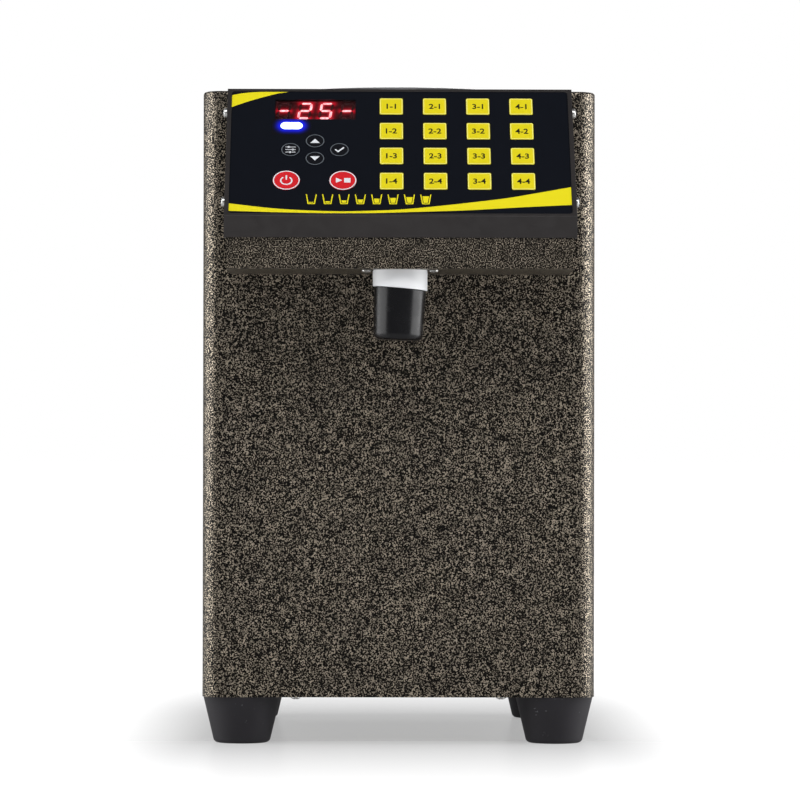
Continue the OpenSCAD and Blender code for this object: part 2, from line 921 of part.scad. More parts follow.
module digit_row(rows) {
    on_face()
        at_display()
            for (place = [0:3])
                translate([(place - 1.5) * digit_pitch, 0, 0])
                    layer(bars_depth, bars_depth + bars_t)
                        digit(rows[place]);
}

module digit_bars_lit() {
    color([0.95, 0.15, 0.2])
        digit_row(lit_bars);
}

module digit_bars_dark() {
    color([0.2, 0.05, 0.06])
        digit_row([for (bars = lit_bars) missing(bars)]);
}

module indicator_lamp() {
    post = 5;
    rim = 0.5;
    color([0.2, 0.3, 1])
        on_face()
            at_lamp() {
                layer(overlay_depth - clear, key_lip_top)
                    pill(lamp_w, lamp_h);
                layer(key_lip_top, key_lip_top + key_lip_t)
                    pill(lamp_w + 2 * rim, lamp_h + 2 * rim);
                layer(key_lip_top + key_lip_t, board_top)
                    square([post, post], center = true);
            }
}

module keypad_board() {
    color([0.05, 0.3, 0.15])
        on_face()
            difference() {
                at_face_middle()
                    layer(board_top, board_bottom)
                        square([overlay_w - 2 * board_inset, overlay_len - 2 * board_inset], center = true);
                at_bosses()
                    layer(board_top - 1, board_bottom + 1)
                        circle(d = stake_d + 2 * play);
            }
}

module key_switches() {
    switch_w = 6;
    button_d = 3.4;
    button_h = 1.1;
    color([0.1, 0.1, 0.1])
        on_face()
            at_every_key() {
                layer(switch_top + button_h, board_top)
                    square([switch_w, switch_w], center = true);
                layer(switch_top, switch_top + button_h)
                    circle(d = button_d);
            }
}

// The lip and the stem under a key's cap.
module key_stem() {
    layer(key_lip_top, key_lip_top + key_lip_t)
        children();
    layer(key_lip_top, stem_end)
        circle(d = stem_d);
}

module dose_key(col, row) {
    color([0.91, 0.85, 0.08])
        on_face()
            at_dose_key(col, row) {
                layer(key_top, key_lip_top)
                    rounded_rect(dose_key_w, dose_key_w, dose_key_r);
                key_stem()
                    rounded_rect(dose_key_w + 2 * key_lip, dose_key_w + 2 * key_lip, dose_key_r);
            }
}

module round_key(place, diameter) {
    on_face()
        at_place(place) {
            layer(key_top, key_lip_top)
                circle(d = diameter);
            key_stem()
                circle(d = diameter + 2 * key_lip);
        }
}

module small_key(index) {
    color([0.12, 0.13, 0.16])
        round_key(small_key_places[index], small_key_d);
}

module large_key(index) {
    color([0.82, 0.12, 0.16])
        round_key(large_key_places[index], large_key_d);
}

// ---- Tank and lid ----

module tank() {
    outlet_hole_d = barb_d + 1;
    color([0.78, 0.79, 0.8])
        translate([0, tank_y, 0])
            difference() {
                union() {
                    translate([0, 0, tank_bottom])
                        cylinder(r = tank_r, h = tank_depth + tank_flange_t, $fn = 128);
                    translate([0, 0, case_top])
                        cylinder(r = tank_r + tank_flange_w, h = tank_flange_t, $fn = 128);
                }
                translate([0, 0, tank_bottom + sheet_t])
                    cylinder(r = tank_r - tank_wall, h = tank_depth + tank_flange_t, $fn = 128);
                translate([0, 0, tank_bottom - 1])
                    cylinder(d = outlet_hole_d, h = sheet_t + 2);
            }
}

// Height of the lid's outer face at a distance from its axis.
function dome_z(r) = lid_top - lid_dome_r + sqrt(lid_dome_r * lid_dome_r - r * r);

// The lid's skin from the rim up to the dish's edge, drawn in by an inset.
function lid_skin(inset) =
    let (
        steps = 8,
        flat_r = lid_d / 2 - lid_shoulder_r,
        soft = lid_shoulder_r - inset,
        middle = dome_z(flat_r) - lid_shoulder_r,
        edge = dish_d / 2 + inset
    )
    concat(
        [[lid_d / 2 - inset, lid_bottom]],
        [for (i = [0:steps]) [flat_r + soft * cos(i * 90 / steps), middle + soft * sin(i * 90 / steps)]],
        [for (i = [1:steps]) let (r = flat_r + (edge - flat_r) * i / steps) [r, dome_z(r) - inset]]
    );

module tank_lid() {
    outside = lid_skin(0);
    inside = lid_skin(lid_t);
    dish_floor = [
        [dish_d / 2, dish_bottom], [0, dish_bottom], [0, dish_bottom - lid_t],
        [dish_d / 2 + lid_t, dish_bottom - lid_t]
    ];
    color([0.8, 0.8, 0.82])
        translate([0, tank_y, 0])
            difference() {
                rotate_extrude($fn = 128)
                    polygon(concat(outside, dish_floor, [for (i = [len(inside) - 1:-1:0]) inside[i]]));
                for (side = [-1, 1])
                    translate([side * stud_x, 0, dish_bottom])
                        cylinder(d = stud_d + 2 * clear, h = 2 * dish_depth);
            }
}

module lid_grip() {
    flat_z = lid_top + grip_rise;
    seat_z = dome_z(dish_d / 2) + clear / 2;
    end_t = 1.5;
    foot_in = dish_d / 2 - 1;
    color([0.13, 0.13, 0.14])
        translate([0, tank_y, 0]) {
            translate([0, grip_w / 2, 0])
                rotate([90, 0, 0])
                    linear_extrude(height = grip_w)
                        polygon([
                            [-grip_len / 2, seat_z], [-grip_len / 2, seat_z + end_t],
                            [-grip_flat / 2, flat_z], [grip_flat / 2, flat_z],
                            [grip_len / 2, seat_z + end_t], [grip_len / 2, seat_z],
                            [foot_in, seat_z], [foot_in - grip_t / 2, flat_z - grip_t],
                            [grip_t / 2 - foot_in, flat_z - grip_t], [-foot_in, seat_z]
                        ]);
            for (side = [-1, 1])
                translate([side * stud_x, 0, seat_z - lid_t - 2])
                    cylinder(d = stud_d, h = lid_t + 3);
        }
}

module lid_seal() {
    lip_len = 5;
    lip_t = 3;
    mouth_r = tank_r - tank_wall - 3 * clear;
    seal_inner_r = mouth_r - lip_t;
    color([0.9, 0.9, 0.88])
        translate([0, tank_y, 0])
            difference() {
                union() {
                    translate([0, 0, case_top + tank_flange_t])
                        cylinder(d = lid_d, h = seal_t, $fn = 128);
                    translate([0, 0, case_top + tank_flange_t - lip_len])
                        cylinder(r = mouth_r, h = lip_len, $fn = 128);
                }
                translate([0, 0, case_top - lip_len])
                    cylinder(r = seal_inner_r, h = 4 * lip_len, $fn = 128);
            }
}

module tank_outlet() {
    flange_d = 30;
    color([0.75, 0.75, 0.76])
        translate([0, tank_y, 0])
            difference() {
                union() {
                    translate([0, 0, tank_bottom - spigot_t])
                        cylinder(d = flange_d, h = spigot_t);
                    translate([0, 0, tank_bottom - spigot_t - barb_len])
                        cylinder(d = barb_d, h = barb_len + spigot_t + sheet_t);
                }
                translate([0, 0, tank_bottom - spigot_t - barb_len - 1])
                    cylinder(d = port_d, h = barb_len + spigot_t + sheet_t + 2);
            }
}

// ---- Pump and hoses ----

module suction_hose() {
    color([0.86, 0.86, 0.82])
        upright_run(tank_y, suction_low, suction_high);
}

// Draws children in the pump's gear plane: x across, y up, z towards the front.
module on_pump_axis(x) {
    translate([x, tank_y, pump_z])
        rotate([90, 0, 0])
            children();
}

module pump_body() {
    height = 2 * pump_half_h;
    color([0.72, 0.73, 0.75])
        difference() {
            union() {
                translate([-pump_half_w, chamber_front, pump_z - pump_half_h])
                    cube([2 * pump_half_w, pump_back - chamber_front, height]);
                for (side = [-1, 1])
                    translate([side * (pump_half_w - leg_w / 2) - leg_w / 2, chamber_front, housing_bottom])
                        cube([leg_w, pump_back - chamber_front, pump_z - pump_half_h - housing_bottom]);
                for (z = [pump_z - pump_half_h - barb_len, pump_z + pump_half_h])
                    translate([0, tank_y, z])
                        cylinder(d = barb_d, h = barb_len);
            }
            for (side = [-1, 1])
                on_pump_axis(side * pitch_r)
                    translate([0, 0, -gear_w / 2])
                        cylinder(r = chamber_r, h = gear_w + 1);
            for (z = [pump_z - pump_half_h - barb_len - 1, pump_z + 1])
                translate([0, tank_y, z])
                    cylinder(d = port_d, h = pump_half_h + barb_len);
            on_pump_axis(-pitch_r)
                translate([0, 0, -gear_w / 2 - pump_wall - 1])
                    cylinder(d = shaft_d + 2 * play, h = pump_wall + 2);
            on_pump_axis(pitch_r)
                translate([0, 0, -gear_w / 2 - bearing_depth])
                    cylinder(d = shaft_d + 2 * play, h = bearing_depth + 1);
        }
}

module pump_cover() {
    color([0.66, 0.67, 0.7])
        difference() {
            translate([-pump_half_w, pump_front, pump_z - pump_half_h])
                cube([2 * pump_half_w, pump_wall, 2 * pump_half_h]);
            for (side = [-1, 1])
                on_pump_axis(side * pitch_r)
                    translate([0, 0, gear_w / 2 - 1])
                        cylinder(d = shaft_d + 2 * play, h = bearing_depth + 1);
        }
}

// The angle between a tooth's middle and its flank at a radius, by the involute of the base circle.
function involute(angle) = tan(angle) - angle * PI / 180;
function half_tooth(r) =
    (tooth_t / 2 / pitch_r + involute(pressure) - involute(acos(base_r / r))) * 180 / PI;

module gear_outline() {
    steps = 4;
    rise = [for (i = [0:steps]) base_r + (tip_r - base_r) * i / steps];
    fall = [for (i = [steps:-1:0]) rise[i]];
    polygon([
        for (tooth = [0:gear_teeth - 1])
            let (middle = tooth * 360 / gear_teeth, foot_angle = half_tooth(base_r))
                for (p = concat(
                    [[root_r, -foot_angle]],
                    [for (r = rise) [r, -half_tooth(r)]],
                    [for (r = fall) [r, half_tooth(r)]],
                    [[root_r, foot_angle]]
                ))
                    p[0] * [cos(middle + p[1]), sin(middle + p[1])]
    ]);
}

module pump_gear(turn, back_len) {
    face_w = gear_w - 2 * clear;
    translate([0, 0, -face_w / 2])
        rotate(turn)
            linear_extrude(height = face_w)
                gear_outline();
    translate([0, 0, -gear_w / 2 - back_len])
        cylinder(d = shaft_d, h = gear_w + back_len + bearing_depth - clear);
}

module drive_gear() {
    color([0.8, 0.75, 0.55])
        on_pump_axis(-pitch_r)
            pump_gear(0, pump_wall + motor_shaft_depth);
}

module driven_gear() {
    half_pitch = gear_teeth % 2 == 0 ? 180 / gear_teeth : 0;
    color([0.8, 0.75, 0.55])
        on_pump_axis(pitch_r)
            pump_gear(half_pitch, bearing_depth - clear);
}

module pump_motor() {
    cap_len = 6;
    cap_d = motor_d - 4;
    tab = [1, 6, 5];
    back = -gear_w / 2 - pump_wall - motor_len;
    color([0.5, 0.51, 0.53])
        on_pump_axis(-pitch_r)
            difference() {
                union() {
                    translate([0, 0, back + cap_len])
                        cylinder(d = motor_d, h = motor_len - cap_len);
                    translate([0, 0, back])
                        cylinder(d = cap_d, h = cap_len);
                    for (side = [-1, 1])
                        translate([side * motor_d / 4, 0, back - tab[2] / 2])
                            cube([tab[0], tab[1], tab[2] + 1], center = true);
                }
                translate([0, 0, back + motor_len - motor_shaft_depth - 1])
                    cylinder(d = shaft_d + 2 * play, h = motor_shaft_depth + 2);
            }
}

// The cross-section of a hose.
module hose_ring() {
    difference() {
        circle(d = hose_od);
        circle(d = hose_id);
    }
}

// A quarter bend in the plane X = 0 about a centre, from an angle above +Y.
module bend(y, z, from) {
    translate([0, y, z])
        rotate([90, 0, 90])
            rotate([0, 0, from])
                rotate_extrude(angle = 90)
                    translate([hose_bend, 0])
                        rotate(90)
                            hose_ring();
}

module level_run(from_y, to_y, z) {
    translate([0, from_y, z])
        rotate([-90, 0, 0])
            linear_extrude(height = to_y - from_y)
                hose_ring();
}

module upright_run(y, from_z, to_z) {
    translate([0, y, from_z])
        linear_extrude(height = to_z - from_z)
            hose_ring();
}

module delivery_hose() {
    low_z = low_run_z + hose_bend;
    high_z = high_run_z - hose_bend;
    color([0.86, 0.86, 0.82]) {
        upright_run(tank_y, low_z, outlet_top);
        bend(tank_y - hose_bend, low_z, -90);
        level_run(riser_y + hose_bend, tank_y - hose_bend, low_run_z);
        bend(riser_y + hose_bend, low_z, 180);
        upright_run(riser_y, low_z, high_z);
        bend(riser_y - hose_bend, high_z, 0);
        level_run(nozzle_y + hose_bend, riser_y - hose_bend, high_run_z);
        bend(nozzle_y + hose_bend, high_z, 90);
        upright_run(nozzle_y, nozzle_flange_top + clear, high_z);
    }
}

// ---- Nozzle ----

// Everything below a plane that slants through the nozzle's axis at a height.
module below_slant(z) {
    size = 3 * collar_d;
    translate([0, nozzle_y, z])
        rotate([0, collar_slant, 0])
            translate([-size / 2, -size / 2, -size])
                cube([size, size, size]);
}

module nozzle_body() {
    ear_d = 13;
    spout_bottom = cap_bottom + cap_floor + 1;
    color([0.9, 0.91, 0.92])
        difference() {
            union() {
                translate([0, nozzle_y, spout_bottom])
                    cylinder(d = spout_d, h = nozzle_flange_top - spout_bottom);
                translate([0, nozzle_y, head_bottom + sheet_t]) {
                    cylinder(d = collar_d, h = nozzle_flange_t);
                    for (side = [-1, 1])
                        translate([side * nozzle_screw_x, 0, 0])
                            cylinder(d = ear_d, h = nozzle_flange_t);
                }
                translate([0, nozzle_y, nozzle_flange_top - 1])
                    cylinder(d = barb_d, h = nozzle_barb_top - nozzle_flange_top + 1);
            }
            translate([0, nozzle_y, spout_bottom - 1])
                cylinder(d = port_d, h = nozzle_barb_top - spout_bottom + 2);
            at_nozzle_screws()
                cylinder(d = screw_hole_d, h = 8 * sheet_t + 2 * nozzle_flange_t, center = true);
        }
}

module nozzle_collar() {
    color([0.88, 0.89, 0.9])
        difference() {
            translate([0, nozzle_y, collar_bottom - collar_d / 4])
                cylinder(d = collar_d, h = collar_h + collar_d / 4);
            translate([0, nozzle_y, collar_bottom - collar_d / 2])
                cylinder(d = spout_d + 2 * clear, h = collar_h + collar_d);
            below_slant(collar_bottom);
        }
}

module nozzle_cap() {
    top = collar_bottom + collar_d / 4;
    ring_r = cap_bottom_d / 2 - cap_round;
    color([0.08, 0.08, 0.09])
        intersection() {
            translate([0, nozzle_y, 0])
                difference() {
                    translate([0, 0, collar_bottom])
                        rotate([0, cap_lean, 0])
                            translate([0, 0, -collar_bottom])
                                rotate_extrude() {
                                    polygon([
                                        [0, cap_bottom], [ring_r, cap_bottom], [ring_r, cap_bottom + cap_round],
                                        [cap_bottom_d / 2, cap_bottom + cap_round], [cap_top_d / 2, top],
                                        [0, top]
                                    ]);
                                    intersection() {
                                        translate([ring_r, cap_bottom + cap_round])
                                            circle(cap_round);
                                        translate([0, cap_bottom])
                                            square([cap_bottom_d / 2, cap_round]);
                                    }
                                }
                    translate([0, 0, cap_bottom + cap_floor])
                        cylinder(d = spout_d + 2 * clear, h = cap_h + collar_d);
                }
            below_slant(collar_bottom - cap_gap);
        }
}

// ---- Electrics ----

module power_supply() {
    side_wall = 5;
    terminal_depth = 12;
    terminal_z = 14;
    vent_d = 5;
    vent_depth = 2;
    vent_first = [12, 30];
    vent_pitch = [12, 11];
    color([0.7, 0.71, 0.72])
        translate(supply_at)
            difference() {
                cube(supply_size);
                translate([side_wall, -1, terminal_z])
                    cube([supply_size[0] - 2 * side_wall, terminal_depth + 1, supply_size[2]]);
                for (row = [0:5], col = [0:3]) {
                    x = vent_first[0] + col * vent_pitch[0];
                    y = vent_first[1] + row * vent_pitch[1];
                    translate([x, y, supply_size[2] - vent_depth])
                        cylinder(d = vent_d, h = vent_depth + 1, $fn = 24);
                }
            }
}

module control_board() {
    blocks = [
        [[6, 8, 0], [20, 28, 16]],
        [[32, 8, 0], [16, 20, 15]],
        [[6, 44, 0], [30, 30, 22]],
        [[44, 40, 0], [14, 40, 9]],
        [[8, 84, 0], [48, 10, 12]]
    ];
    standoff_d = 6;
    inset = 5;
    color([0.1, 0.35, 0.2])
        translate(circuit_at) {
            for (x = [inset, circuit_size[0] - inset], y = [inset, circuit_size[1] - inset])
                translate([x, y, 0])
                    cylinder(d = standoff_d, h = standoff_h + sink);
            translate([0, 0, standoff_h]) {
                cube(circuit_size);
                for (block = blocks)
                    translate(block[0] + [0, 0, circuit_size[2] - sink])
                        cube(block[1]);
            }
        }
}

module mains_inlet() {
    mouth_w = 24;
    mouth_h = 16.4;
    mouth_r = 2;
    flange_r = 4;
    pin = [2, 4];
    pins = [[0, 3.2], [-7, -2.2], [7, -2.2]];
    floor_t = 3;
    mouth_depth = inlet_depth + inlet_flange_t - floor_t;
    color([0.07, 0.07, 0.07])
        translate([inlet_x, rear_y, inlet_face_z])
            rotate([90, 0, 0]) {
                difference() {
                    union() {
                        translate([0, 0, -inlet_flange_t])
                            linear_extrude(height = inlet_flange_t)
                                rounded_rect(inlet_flange_w, inlet_flange_h, flange_r);
                        linear_extrude(height = inlet_depth)
                            square([inlet_w, inlet_h], center = true);
                    }
                    translate([0, 0, -inlet_flange_t - 1])
                        linear_extrude(height = mouth_depth + 1)
                            rounded_rect(mouth_w, mouth_h, mouth_r);
                    for (side = [-1, 1])
                        translate([side * inlet_screw_dx, 0, 0])
                            cylinder(d = screw_hole_d, h = 4 * inlet_flange_t, center = true);
                }
                for (at = pins)
                    translate([at[0] - pin[0] / 2, at[1] - pin[1] / 2, -inlet_flange_t + pin_recess])
                        cube([pin[0], pin[1], mouth_depth - pin_recess + 1]);
            }
}

function frame_inner_w() = rocker_w + 2 * rocker_room;
function frame_inner_h() = 2 * (norm([rocker_half, rocker_nose_y / 2]) + rocker_room);

// A pin along X, which the rocker turns on.
module trunnion(d, length) {
    rotate([0, 90, 0])
        cylinder(d = d, h = length, center = true, $fn = hull_fn);
}

module switch_frame() {
    outer_w = frame_inner_w() + 2 * frame_wall;
    outer_h = frame_inner_h() + 2 * frame_wall;
    rim = 1.2;
    rim_r = 1;
    blade = [5, 0.8, 9];
    blade_dy = 4;
    color([0.07, 0.07, 0.07])
        translate([inlet_x, rear_y, switch_z])
            rotate([90, 0, 0])
                difference() {
                    union() {
                        translate([0, 0, -frame_t])
                            linear_extrude(height = frame_t)
                                rounded_rect(outer_w + 2 * rim, outer_h + 2 * rim, rim_r);
                        translate([0, 0, -sink])
                            linear_extrude(height = frame_depth)
                                square([outer_w, outer_h], center = true);
                        for (side = [-1, 1])
                            translate([0, side * blade_dy, frame_depth + blade[2] / 2 - clear])
                                cube(blade, center = true);
                    }
                    translate([0, 0, -frame_t - 1])
                        linear_extrude(height = frame_depth + frame_t - frame_wall)
                            square([frame_inner_w(), frame_inner_h()], center = true);
                    translate([0, 0, -rocker_pivot_out])
                        trunnion(trunnion_d + 2 * play, frame_inner_w() + 2 * (trunnion_out + clear));
                }
}

// The rocker rests with its upper end pressed in, turned about the trunnions' axis.
module switch_rocker() {
    keel = 5;
    end_slant = 1.5;
    front = 1;
    color([0.75, 0.1, 0.1])
        translate([inlet_x, rear_y + rocker_pivot_out, switch_z])
            rotate([-rocker_angle, 0, 0]) {
                rotate([90, 0, 90])
                    linear_extrude(height = rocker_w, center = true)
                        polygon([
                            [-keel, 0], [-rocker_nose_y, end_slant - rocker_half], [front, -rocker_half],
                            [rocker_nose_y, -rocker_nose_z], [rocker_nose_y / 2, 0],
                            [rocker_nose_y, rocker_nose_z], [front, rocker_half],
                            [-rocker_nose_y, rocker_half - end_slant]
                        ]);
                trunnion(trunnion_d, frame_inner_w() + 2 * trunnion_out);
            }
}

// ---- Nodes ----

housing();
rear_cover();
base_plate();
feet();
foot_screws();
case_screws();
head_box();
panel_bezel();
head_screws();
panel_overlay();
display_window();
display_module();
digit_bars_lit();
digit_bars_dark();
indicator_lamp();
keypad_board();
key_switches();
for (col = [1:4], row = [1:4])
    dose_key(col, row);
small_key(0);  // key_up
small_key(1);  // key_down
small_key(2);  // key_set
small_key(3);  // key_save
large_key(0);  // key_power
large_key(1);  // key_stop
tank();
tank_lid();
lid_grip();
lid_seal();
tank_outlet();
suction_hose();
pump_body();
pump_cover();
drive_gear();
driven_gear();
pump_motor();
delivery_hose();
nozzle_body();
nozzle_collar();
nozzle_cap();
power_supply();
control_board();
mains_inlet();
switch_frame();
switch_rocker();
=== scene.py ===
"""A countertop syrup dispenser: finishes, printed panel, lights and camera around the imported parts."""

import json
import math

import bmesh
import bpy
from mathutils import Matrix, Vector


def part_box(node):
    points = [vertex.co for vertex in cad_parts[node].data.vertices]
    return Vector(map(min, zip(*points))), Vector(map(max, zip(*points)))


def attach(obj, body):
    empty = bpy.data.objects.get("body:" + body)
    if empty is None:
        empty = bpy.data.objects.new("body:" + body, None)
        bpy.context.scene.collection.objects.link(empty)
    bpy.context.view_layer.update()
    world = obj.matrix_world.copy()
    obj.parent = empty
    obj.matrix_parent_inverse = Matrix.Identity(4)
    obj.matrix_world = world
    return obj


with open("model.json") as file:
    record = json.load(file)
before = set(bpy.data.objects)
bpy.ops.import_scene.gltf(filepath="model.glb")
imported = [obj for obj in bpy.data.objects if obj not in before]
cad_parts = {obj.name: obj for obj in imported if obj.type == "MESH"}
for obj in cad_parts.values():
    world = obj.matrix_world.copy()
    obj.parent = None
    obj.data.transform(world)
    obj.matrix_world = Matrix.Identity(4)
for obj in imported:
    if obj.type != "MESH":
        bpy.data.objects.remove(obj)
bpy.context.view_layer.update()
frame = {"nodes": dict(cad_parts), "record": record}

MM = 0.001

# ---- Places on the object ----

# Depth of the flat brow over the sloping panel, and height of the lip under it
BROW_DEPTH = 14 * MM
LIP_HEIGHT = 12.8 * MM
# Depths of the film's surface and of the key caps under the rim of the bezel
FILM_DEPTH = 0.3 * MM
KEY_DEPTH = 0.1 * MM
# Half the thickness of a printed ink layer, and how far the strokes of the printed figures are fattened
INK = 0.03 * MM
FIGURE_WEIGHT = 0.13 * MM

HOUSING_LOW, HOUSING_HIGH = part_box("housing")
BEZEL_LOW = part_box("panel_bezel")[0]
FRONT_Y = HOUSING_LOW.y
CASE_TOP = HOUSING_HIGH.z
FACE_RUN = FRONT_Y - BEZEL_LOW.y - BROW_DEPTH
FACE_DROP = CASE_TOP - BEZEL_LOW.z - LIP_HEIGHT
FACE = Matrix.Translation((0, FRONT_Y - BROW_DEPTH, CASE_TOP)) @ Matrix.Rotation(
    math.atan2(FACE_DROP, FACE_RUN), 4, "X"
)

# Keys: caps, centres and the frame of the keypad, in millimetres across and down the panel
DOSE_FIRST = (-5.2, 15.1)
DOSE_PITCH = (26.25, 21.6)
DOSE_SIZE = 14
DOSE_ROUND = 1
CLUSTER = (-51.2, 53.1)
CLUSTER_STEP = (14.7, 7.55)
SMALL_KEY = 11.3
LARGE_KEY = 16.2
LARGE_KEY_V = 79.4
LARGE_KEY_DX = 16.9

# Display: four digits of seven bars behind a window, and a lamp under it
DISPLAY_V = 17.8
DIGIT_H = 14.2
DIGIT_W = 8
DIGIT_PITCH = 12.7
BAR_W = 1.5
DIGIT_SLANT = math.radians(8)
WINDOW = (48.5, 17)
LIT_BARS = ((6,), (0, 1, 6, 4, 3), (0, 5, 6, 2, 3), (6,))
GLOW_DEPTH = 2.15 * MM
LAMP = (-65.5, 32.2)
LAMP_SIZE = (13.4, 6)

# Mains switch: how far the rocker's ends and waist stand out of its pivot, its half height and its marks
ROCKER_NOSE = 3 * MM
ROCKER_WAIST = 1.5 * MM
ROCKER_END = 7.4 * MM
ROCKER_MARK_UP = 4.2 * MM

# ---- Camera ----

# Distance in front of the front sheet, sideways place and height of the lens
CAMERA_REACH = 2.6
CAMERA_X = -0.024
CAMERA_Z = 0.1875
CAMERA_LENS = 191.0
CAMERA_YAW = math.radians(0.543)
CAMERA_PITCH = math.radians(0.52)
CAMERA_ROLL = math.radians(0.1)


def make_camera():
    """A long lens a little below the case's middle and a little to the left of it."""
    data = bpy.data.cameras.new("camera")
    data.lens = CAMERA_LENS
    data.sensor_width = 36
    data.clip_start = 0.1
    data.clip_end = 100
    camera = bpy.data.objects.new("camera", data)
    turn = (
        Matrix.Rotation(-CAMERA_YAW, 4, "Z")
        @ Matrix.Rotation(math.pi / 2 + CAMERA_PITCH, 4, "X")
        @ Matrix.Rotation(CAMERA_ROLL, 4, "Z")
    )
    camera.matrix_world = Matrix.Translation((CAMERA_X, FRONT_Y - CAMERA_REACH, CAMERA_Z)) @ turn
    bpy.context.collection.objects.link(camera)
    bpy.context.scene.camera = camera


# ---- Materials ----


def paint(red, green, blue, alpha=1.0):
    """A display colour, 0 to 255, as a linear one."""
    values = [v / 255 for v in (red, green, blue)]
    return [v / 12.92 if v <= 0.04045 else ((v + 0.055) / 1.055) ** 2.4 for v in values] + [alpha]


class Finish:
    """A material with a node tree that is built by short calls."""

    def __init__(self, name):
        self.material = bpy.data.materials.new(name)
        self.material.use_nodes = True
        self.tree = self.material.node_tree
        self.shader = self.tree.nodes["Principled BSDF"]
        self.place = self.node("TexCoord").outputs["Object"]

    def node(self, kind, inputs=None, **settings):
        made = self.tree.nodes.new("ShaderNode" + kind)
        for name, value in settings.items():
            setattr(made, name, value)
        for key, value in (inputs or {}).items():
            self.connect(made, key, value)
        return made

    def connect(self, made, key, value):
        if isinstance(value, bpy.types.NodeSocket):
            self.tree.links.new(value, made.inputs[key])
        else:
            made.inputs[key].default_value = value

    def set(self, **sockets):
        for name, value in sockets.items():
            self.connect(self.shader, name.replace("_", " "), value)

    def noise(self, scale, detail=2.0, distortion=0.0, stretch=(1, 1, 1)):
        """Noise of that many features a metre, stretched along the axes."""
        place = self.place
        if stretch != (1, 1, 1):
            place = self.node("Mapping", {"Vector": place, "Scale": stretch}).outputs["Vector"]
        inputs = {"Vector": place, "Scale": scale, "Detail": detail, "Distortion": distortion}
        return self.node("TexNoise", inputs).outputs["Fac"]

    def math(self, operation, first, second=0.0):
        return self.node("Math", {0: first, 1: second}, operation=operation).outputs[0]

    def vector(self, operation, first, second=(0, 0, 0)):
        return self.node("VectorMath", {0: first, 1: second}, operation=operation).outputs["Vector"]

    def length(self, vector):
        return self.node("VectorMath", {0: vector}, operation="LENGTH").outputs["Value"]

    def spread(self, value, low, high, to_low=0.0, to_high=1.0):
        """Maps low to high of a value smoothly to another range."""
        inputs = {"Value": value, "From Min": low, "From Max": high, "To Min": to_low, "To Max": to_high}
        return self.node("MapRange", inputs, interpolation_type="SMOOTHSTEP").outputs["Result"]

    def blend(self, share, first, second):
        """Mixes two colours by a share."""
        made = self.node("Mix", data_type="RGBA")
        self.connect(made, 0, share)
        self.connect(made, 6, first)
        self.connect(made, 7, second)
        return made.outputs[2]

    def bump(self, height, strength, distance, normal=None):
        inputs = {"Height": height, "Strength": strength, "Distance": distance}
        if normal is not None:
            inputs["Normal"] = normal
        return self.node("Bump", inputs).outputs["Normal"]

    def soft_edges(self, radius):
        """A normal that rounds sharp edges."""
        return self.node("Bevel", {"Radius": radius}, samples=4).outputs["Normal"]


def hammertone():
    """Dark bronze hammered enamel: fine light ridges, under a millimetre wide, over a dark ground."""
    finish = Finish("hammertone")
    field = finish.noise(1400, detail=0.0)
    speck = finish.spread(field, 0.49, 0.67)
    patch = finish.spread(finish.noise(260, detail=1.0), 0.3, 0.7, 0.5, 1.0)
    speck = finish.math("MULTIPLY", speck, patch)
    ground = finish.blend(finish.noise(14), paint(4, 3, 2), paint(8, 6, 4))
    light = finish.blend(finish.noise(33), paint(180, 168, 152), paint(192, 179, 158))
    finish.set(Base_Color=finish.blend(speck, ground, light), Metallic=0.75, Roughness=0.4)
    finish.set(Normal=finish.bump(field, 0.3, 0.2 * MM))
    return finish.material


def moulded(name, colour, other, roughness, grain=1700, relief=0.12, edge=0.4, specular=0.5):
    """Grained plastic or rubber: fine relief, faint cloudiness and rounded edges."""
    finish = Finish(name)
    cloud = finish.noise(45, detail=4.0)
    finish.set(Base_Color=finish.blend(cloud, colour, other))
    wear = finish.noise(160, detail=3.0)
    finish.set(Roughness=finish.spread(wear, 0.3, 0.7, roughness - 0.05, roughness + 0.05))
    normal = finish.soft_edges(edge * MM)
    finish.set(Normal=finish.bump(finish.noise(grain), relief, 0.1 * MM, normal))
    finish.shader.inputs["Specular IOR Level"].default_value = specular
    return finish.material


def foot_rubber():
    """Black rubber with pale dust and scuffs."""
    finish = Finish("foot_rubber")
    cloud = finish.noise(60, detail=4.0)
    ground = finish.blend(cloud, paint(27, 25, 29), paint(37, 35, 40))
    dust = finish.spread(finish.noise(420, detail=3.0, distortion=1.5), 0.7, 0.78)
    finish.set(Base_Color=finish.blend(dust, ground, paint(105, 105, 109)), Roughness=0.55)
    finish.shader.inputs["Specular IOR Level"].default_value = 0.35
    normal = finish.soft_edges(0.5 * MM)
    finish.set(Normal=finish.bump(finish.noise(900, detail=3.0), 0.15, 0.2 * MM, normal))
    return finish.material


def film(name, colour, other, roughness=0.32, specular=0.15):
    """Printed film with a faint orange-peel surface."""
    finish = Finish(name)
    finish.set(Base_Color=finish.blend(finish.noise(90, detail=3.0), colour, other), Roughness=roughness)
    finish.set(Normal=finish.bump(finish.noise(700), 0.05, 0.05 * MM))
    finish.shader.inputs["Specular IOR Level"].default_value = specular
    return finish.material


def metal(name, colour, roughness, stretch=(1, 1, 1), grain=900, relief=0.08, edge=0.3):
    """Bare or plated metal, with its grain drawn out along the axes with the low numbers."""
    finish = Finish(name)
    streak = finish.noise(grain, detail=3.0, stretch=stretch)
    dim = [v * 0.82 for v in colour[:3]] + [1.0]
    finish.set(Base_Color=finish.blend(streak, dim, colour), Metallic=1.0)
    finish.set(Roughness=finish.spread(streak, 0.3, 0.7, roughness - 0.06, roughness + 0.08))
    normal = finish.soft_edges(edge * MM)
    finish.set(Normal=finish.bump(streak, relief, 0.05 * MM, normal))
    return finish.material


